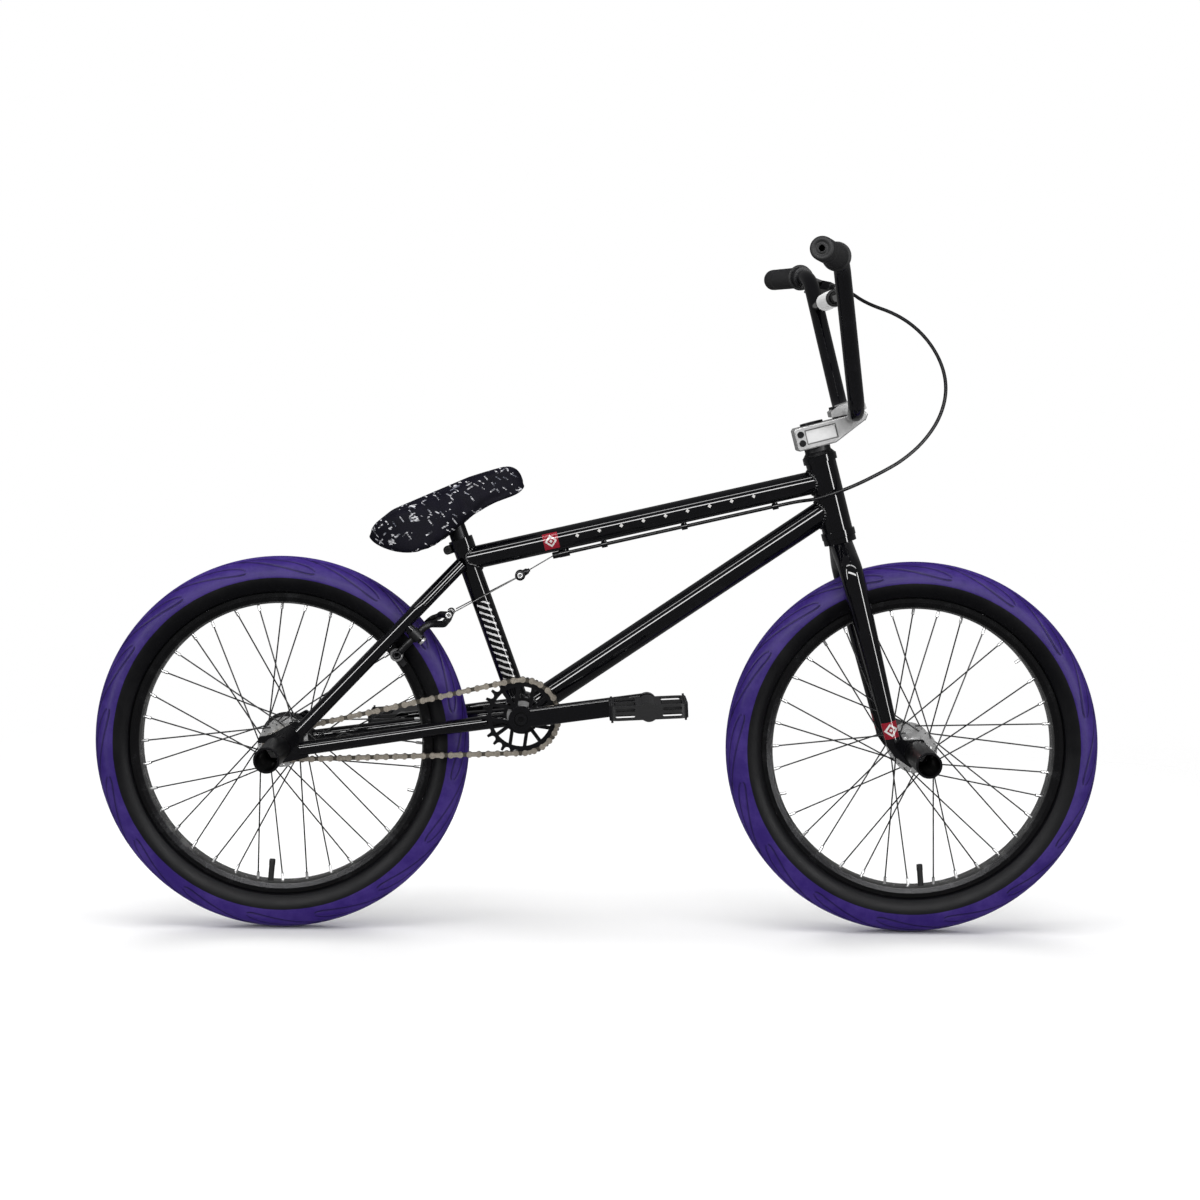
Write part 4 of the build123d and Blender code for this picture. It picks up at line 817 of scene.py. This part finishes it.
def makeSaddle():
    source = frame["nodes"]["saddle"].data.copy()
    shape = bmesh.new()
    shape.from_mesh(source)
    bmesh.ops.remove_doubles(shape, verts=shape.verts[:], dist=1e-5)
    shape.to_mesh(source)
    shape.free()
    mesh = remeshed(source, "saddle_start", saddleSoft["voxel"])
    shape = bmesh.new()
    shape.from_mesh(mesh)
    soft = [v for v in shape.verts if abs(v.co.y) > saddleSoft["baseHalf"] or v.normal.z > -0.2]
    for turn in range(saddleSoft["smooth"]):
        bmesh.ops.smooth_vert(
            shape, verts=soft, factor=0.5, use_axis_x=True, use_axis_y=True, use_axis_z=True
        )
    shape.normal_update()
    for vert in soft:
        vert.co -= vert.normal * saddleSoft["shrink"]
    shape.to_mesh(mesh)
    shape.free()
    piece = newPiece("saddle_cover", mesh, seatFabric("seat_cloth"), None)
    start = [v.co.copy() for v in mesh.vertices]
    pins = piece.vertex_groups.new(name="pins")
    held = [v.index for v in mesh.vertices
            if abs(v.co.y) <= saddleSoft["baseHalf"] and v.normal.z <= -0.2]
    pins.add(held, 1.0, "REPLACE")
    cloth = piece.modifiers.new("padding", "CLOTH")
    cloth.settings.use_pressure = True
    cloth.settings.uniform_pressure_force = saddleSoft["pressure"]
    cloth.settings.effector_weights.gravity = 0
    cloth.settings.vertex_group_mass = "pins"
    cloth.settings.tension_stiffness = saddleSoft["stiffness"]
    cloth.settings.compression_stiffness = saddleSoft["stiffness"]
    cloth.settings.quality = 5
    cloth.point_cache.frame_start = 1
    cloth.point_cache.frame_end = saddleSoft["frames"]
    scene = bpy.context.scene
    for step in range(1, saddleSoft["frames"] + 1):
        scene.frame_set(step)
    graph = bpy.context.evaluated_depsgraph_get()
    swollen = [v.co.copy() for v in piece.evaluated_get(graph).data.vertices]
    piece.modifiers.remove(cloth)
    scene.frame_set(1)
    for vert, before, after in zip(mesh.vertices, start, swollen):
        move = after - before
        if move.length > saddleSoft["cap"]:
            move *= saddleSoft["cap"] / move.length
        vert.co = before + move
    rounding = piece.modifiers.new("rounding", "SUBSURF")
    rounding.levels = 1
    rounding.render_levels = 1
    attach(piece, "saddle")
    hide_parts("saddle")
    return piece


saddlePiece = makeSaddle()
print("saddle made", len(saddlePiece.data.vertices))


# Weld beads where the frame's tubes meet
def weldBead(name, joint, toward, radius, cross, crossRadius, thick=0.0021):
    along = (toward - joint).normalized()
    cross = cross.normalized()
    first = (cross - along * cross.dot(along)).normalized()
    second = along.cross(first).normalized()
    shape = bmesh.new()
    count = 120
    ring = []
    for k in range(count):
        turn = math.tau * k / count
        base = first * (radius * math.cos(turn)) + second * (radius * math.sin(turn))
        flat = base - cross * base.dot(cross)
        lean = along - cross * along.dot(cross)
        a = lean.dot(lean)
        b = 2 * flat.dot(lean)
        c = flat.dot(flat) - crossRadius * crossRadius
        root = max(b * b - 4 * a * c, 0.0)
        ring.append(joint + base + along * ((-b + math.sqrt(root)) / (2 * a)))
    rings = []
    for k, point in enumerate(ring):
        ahead = (ring[(k + 1) % count] - ring[k - 1]).normalized()
        outward = (point - joint - along * (point - joint).dot(along)).normalized()
        other = ahead.cross(outward).normalized()
        outward = other.cross(ahead)
        size = thick * (1.0 + 0.22 * math.cos(math.tau * k / 4.0))
        row = []
        for j in range(8):
            turn = math.tau * j / 8
            rim = outward * math.cos(turn) + other * math.sin(turn)
            row.append(shape.verts.new(point + rim * size))
        rings.append(row)
    edges = [[shape.edges.new((row[j], row[(j + 1) % 8])) for j in range(8)] for row in rings]
    for k in range(count):
        bmesh.ops.bridge_loops(shape, edges=edges[k] + edges[(k + 1) % count])
    return newPiece(name, toMesh(shape, name), enamelPlain, "frame")


weldBead("weld_top_tube_head", topTubeFront, topTubeRear, tubes["topRadius"], steerUp,
         tubes["headRadius"])
weldBead("weld_down_tube_head", downTubeFront, bottomBracket, tubes["downRadius"], steerUp,
         tubes["headRadius"])
weldBead("weld_top_tube_seat", topTubeRear, topTubeFront, tubes["topRadius"], seatUp,
         tubes["seatRadius"])
weldBead("weld_seat_tube_shell", bottomBracket, topTubeRear, tubes["seatRadius"], sideways,
         tubes["shellRadius"])
weldBead("weld_down_tube_shell", bottomBracket, downTubeFront, tubes["downRadius"], sideways,
         tubes["shellRadius"])
print("welds made")

# Crossbar wrap: a white sleeve with dark bound ends
wrap = {"half": 0.074, "radius": 0.0126, "wrinkle": 0.0006, "binding": 0.011}
crossLow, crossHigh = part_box("handlebar_crossbar")
crossMiddle = (crossLow + crossHigh) / 2


def makeWrap(name, start, end, radius, material):
    profile = [(0, 0.0081), (0, radius - 0.0018), (0.0008, radius - 0.0004), (0.002, radius)]
    length = end - start
    steps = int(length / 0.003)
    profile += [(0.002 + (length - 0.004) * k / steps, radius) for k in range(1, steps)]
    profile += [(length - 0.002, radius), (length - 0.0008, radius - 0.0004),
                (length, radius - 0.0018), (length, 0.0081)]
    mesh = lathe(name, crossMiddle + sideways * start, sideways, profile, 48)
    for vert in mesh.vertices:
        offset = vert.co - crossMiddle
        reach = math.hypot(offset.x, offset.z)
        if reach > radius - 0.002:
            swell = noise.noise(Vector((vert.co.x * 90, vert.co.y * 55, vert.co.z * 90)))
            vert.co.x -= offset.x / reach * wrap["wrinkle"] * (1 + swell)
            vert.co.z -= offset.z / reach * wrap["wrinkle"] * (1 + swell)
    return newPiece(name, mesh, material, "fork")


edge = wrap["half"] - wrap["binding"]
makeWrap("crossbar_wrap", -edge, edge, wrap["radius"], wrapCloth("wrap_cloth"))
for name, near, far in (("right", -wrap["half"], -edge), ("left", edge, wrap["half"])):
    makeWrap(f"crossbar_binding_{name}", near, far, wrap["radius"], rubber)
print("crossbar wrap made")


def makeStudio():
    shape = bmesh.new()
    bmesh.ops.create_grid(shape, x_segments=1, y_segments=1, size=studio["floorSize"] / 2)
    mesh = bpy.data.meshes.new("floor")
    shape.to_mesh(mesh)
    shape.free()
    floor = newPiece("floor", mesh, floorPaper("floor_paper"), None, smooth=False)
    floor.visible_glossy = False
    world = bpy.data.worlds.new("studio")
    bpy.context.scene.world = world
    world.use_nodes = True
    tree = world.node_tree
    background = tree.nodes["Background"]
    paths = tree.nodes.new("ShaderNodeLightPath")
    unseen = tree.nodes.new("ShaderNodeMapRange")
    unseen.inputs["To Min"].default_value = studio["fill"]
    unseen.inputs["To Max"].default_value = studio["mirrored"]
    level = tree.nodes.new("ShaderNodeMapRange")
    level.inputs["To Max"].default_value = studio["seen"]
    tree.links.new(paths.outputs["Is Glossy Ray"], unseen.inputs["Value"])
    tree.links.new(unseen.outputs[0], level.inputs["To Min"])
    tree.links.new(paths.outputs["Is Camera Ray"], level.inputs["Value"])
    tree.links.new(level.outputs[0], background.inputs["Strength"])
    background.inputs["Color"].default_value = (1, 1, 1, 1)
    for name, place, aim, size, power in studio["lights"]:
        data = bpy.data.lights.new(name, "AREA")
        data.shape = "RECTANGLE"
        data.size, data.size_y = size
        data.energy = power
        lamp = bpy.data.objects.new(name, data)
        lamp.visible_glossy = name.endswith("strip")
        lamp.visible_diffuse = name.endswith("bank")
        bpy.context.scene.collection.objects.link(lamp)
        lamp.location = place
        lamp.rotation_mode = "QUATERNION"
        lamp.rotation_quaternion = (Vector(aim) - Vector(place)).to_track_quat("-Z", "Y")


# Small hardware, all turned shapes: (name, place, axis, profile, material, body, slot)
stayLow = hubs["rear"] + Vector((0.0285, 0.059, 0.021))
stayBend = hubs["rear"] + Vector((0.1915, 0.0385, 0.192))
stayUp = Vector((stayBend.x - stayLow.x, 0, stayBend.z - stayLow.z)).normalized()
stayOut = Vector((stayUp.z, 0, -stayUp.x))


def brakePoint(up, out, side):
    return Vector((stayLow.x, side, stayLow.z)) + stayUp * up + stayOut * out


def boltHead(radius, height):
    return [(0, 0), (0, radius * 0.94), (height * 0.15, radius), (height * 0.75, radius),
            (height, radius * 0.8), (height, radius * 0.45), (height * 0.4, radius * 0.4),
            (height * 0.4, 0)]


def knurled(radius, length, bore, teeth):
    steps = [(0, bore), (0, radius * 0.9)]
    for k in range(teeth):
        at = length * (0.1 + 0.8 * k / teeth)
        steps += [(at, radius), (at + length * 0.4 / teeth, radius),
                  (at + length * 0.5 / teeth, radius * 0.93),
                  (at + length * 0.7 / teeth, radius * 0.93)]
    return steps + [(length, radius * 0.9), (length, bore)]


washerStack = [
    (0, 0.0036), (0, 0.0088), (0.0012, 0.0090), (0.0016, 0.0082), (0.0030, 0.0076),
    (0.0034, 0.0084), (0.0046, 0.0084), (0.0050, 0.0074), (0.0066, 0.0060), (0.0066, 0.0036),
]
hardware = []
for name, side in (("right", -1), ("left", 1)):
    arm = f"brake_arm_{name}"
    out = Vector((0, side, 0))
    hardware += [
        (f"pivot_bolt_{name}", brakePoint(0.206, 0.033, side * 0.0405), stayOut,
         boltHead(0.0056, 0.0038), zinc, "frame", "steel"),
        (f"pad_washers_{name}", brakePoint(0.166, 0.0228, side * 0.0270), out,
         washerStack, zinc, arm, "steel"),
        (f"pad_nut_{name}", brakePoint(0.168, 0.0228, side * 0.0395), out,
         boltHead(0.0062, 0.0050), satinDeep, arm, "black_metal"),
        (f"anchor_bolt_{name}", brakePoint(0.256, 0.036, side * -0.0342), -out,
         boltHead(0.0046, 0.0042), zinc, arm, "steel"),
        (f"anchor_nut_{name}", brakePoint(0.256, 0.036, side * -0.0258), out,
         boltHead(0.0042, 0.0040), zinc, arm, "steel"),
    ]
stopAt = -0.048
stopTip = underTopTube(stopAt - 0.020)
yoke = stopTip - Vector((0.0457, 0, 0.0275))
cableLead = (leverLead - leverExit).normalized()
hardware += [
    ("cable_adjuster", underTopTube(stopAt - 0.011), -tubeAlong,
     knurled(0.0047, 0.0105, 0.0033, 5), satinDeep, "frame", "black_metal"),
    ("cable_ferrule", leverExit, cableLead,
     knurled(0.0036, 0.0110, 0.0026, 3), zinc, "fork", "steel"),
    ("yoke_drum", yoke - sideways * 0.0086, sideways,
     [(0, 0), (0, 0.0060), (0.0010, 0.0072), (0.0052, 0.0072), (0.0060, 0.0054),
      (0.0112, 0.0054), (0.0120, 0.0072), (0.0162, 0.0072), (0.0172, 0.0060), (0.0172, 0)],
     satinDeep, "frame", "black_metal"),
    ("yoke_screw", yoke - sideways * 0.0086, -sideways, boltHead(0.0042, 0.0034), zinc,
     "frame", "steel"),
    ("yoke_neck", yoke, (stopTip - yoke).normalized(),
     [(0, 0.001), (0, 0.0048), (0.0110, 0.0042), (0.0130, 0.0026), (0.0150, 0.0024), (0.0150, 0.001)],
     satinDeep, "frame", "black_metal"),
]
for end, degrees in (("front", -85.0), ("rear", -95.0)):
    turn = math.radians(degrees)
    inward = -Vector((math.cos(turn), 0, math.sin(turn)))
    tip = hubs[end] - inward * 0.166
    hardware.append((
        f"valve_cap_{end}", tip - inward * 0.0080, inward, knurled(0.0044, 0.0086, 0.0041, 4),
        rubber, f"{end}_wheel", "black_rubber",
    ))
for name, place, axis, profile, material, body, slot in hardware:
    newPiece(name, lathe(name, place, axis, profile, 32), material, body)
print("hardware made", len(hardware))

# Surroundings and camera
makeStudio()
bpy.context.scene.view_settings.view_transform = "Standard"

# Camera, level with the top tube and square to the bike's right side
shot = {
    "place": (-0.0278, -3.2507, 0.7277), "yaw": 0.009, "pitch": 0.082, "roll": 0.010,
    "lens": 70.8, "sensor": 36.0,
}


def makeCamera():
    data = bpy.data.cameras.new("camera")
    data.lens = shot["lens"]
    data.sensor_width = shot["sensor"]
    data.clip_end = 60.0
    camera = bpy.data.objects.new("camera", data)
    bpy.context.scene.collection.objects.link(camera)
    ahead = Vector((
        math.sin(shot["yaw"]) * math.cos(shot["pitch"]),
        math.cos(shot["yaw"]) * math.cos(shot["pitch"]), -math.sin(shot["pitch"]),
    ))
    right = ahead.cross(Vector((0, 0, 1))).normalized()
    up = right.cross(ahead)
    tilted = right * math.cos(shot["roll"]) + up * math.sin(shot["roll"])
    lifted = up * math.cos(shot["roll"]) - right * math.sin(shot["roll"])
    turn = Matrix((tilted, lifted, -ahead)).transposed().to_4x4()
    camera.matrix_world = Matrix.Translation(Vector(shot["place"])) @ turn
    bpy.context.scene.camera = camera


makeCamera()
print("scene made")
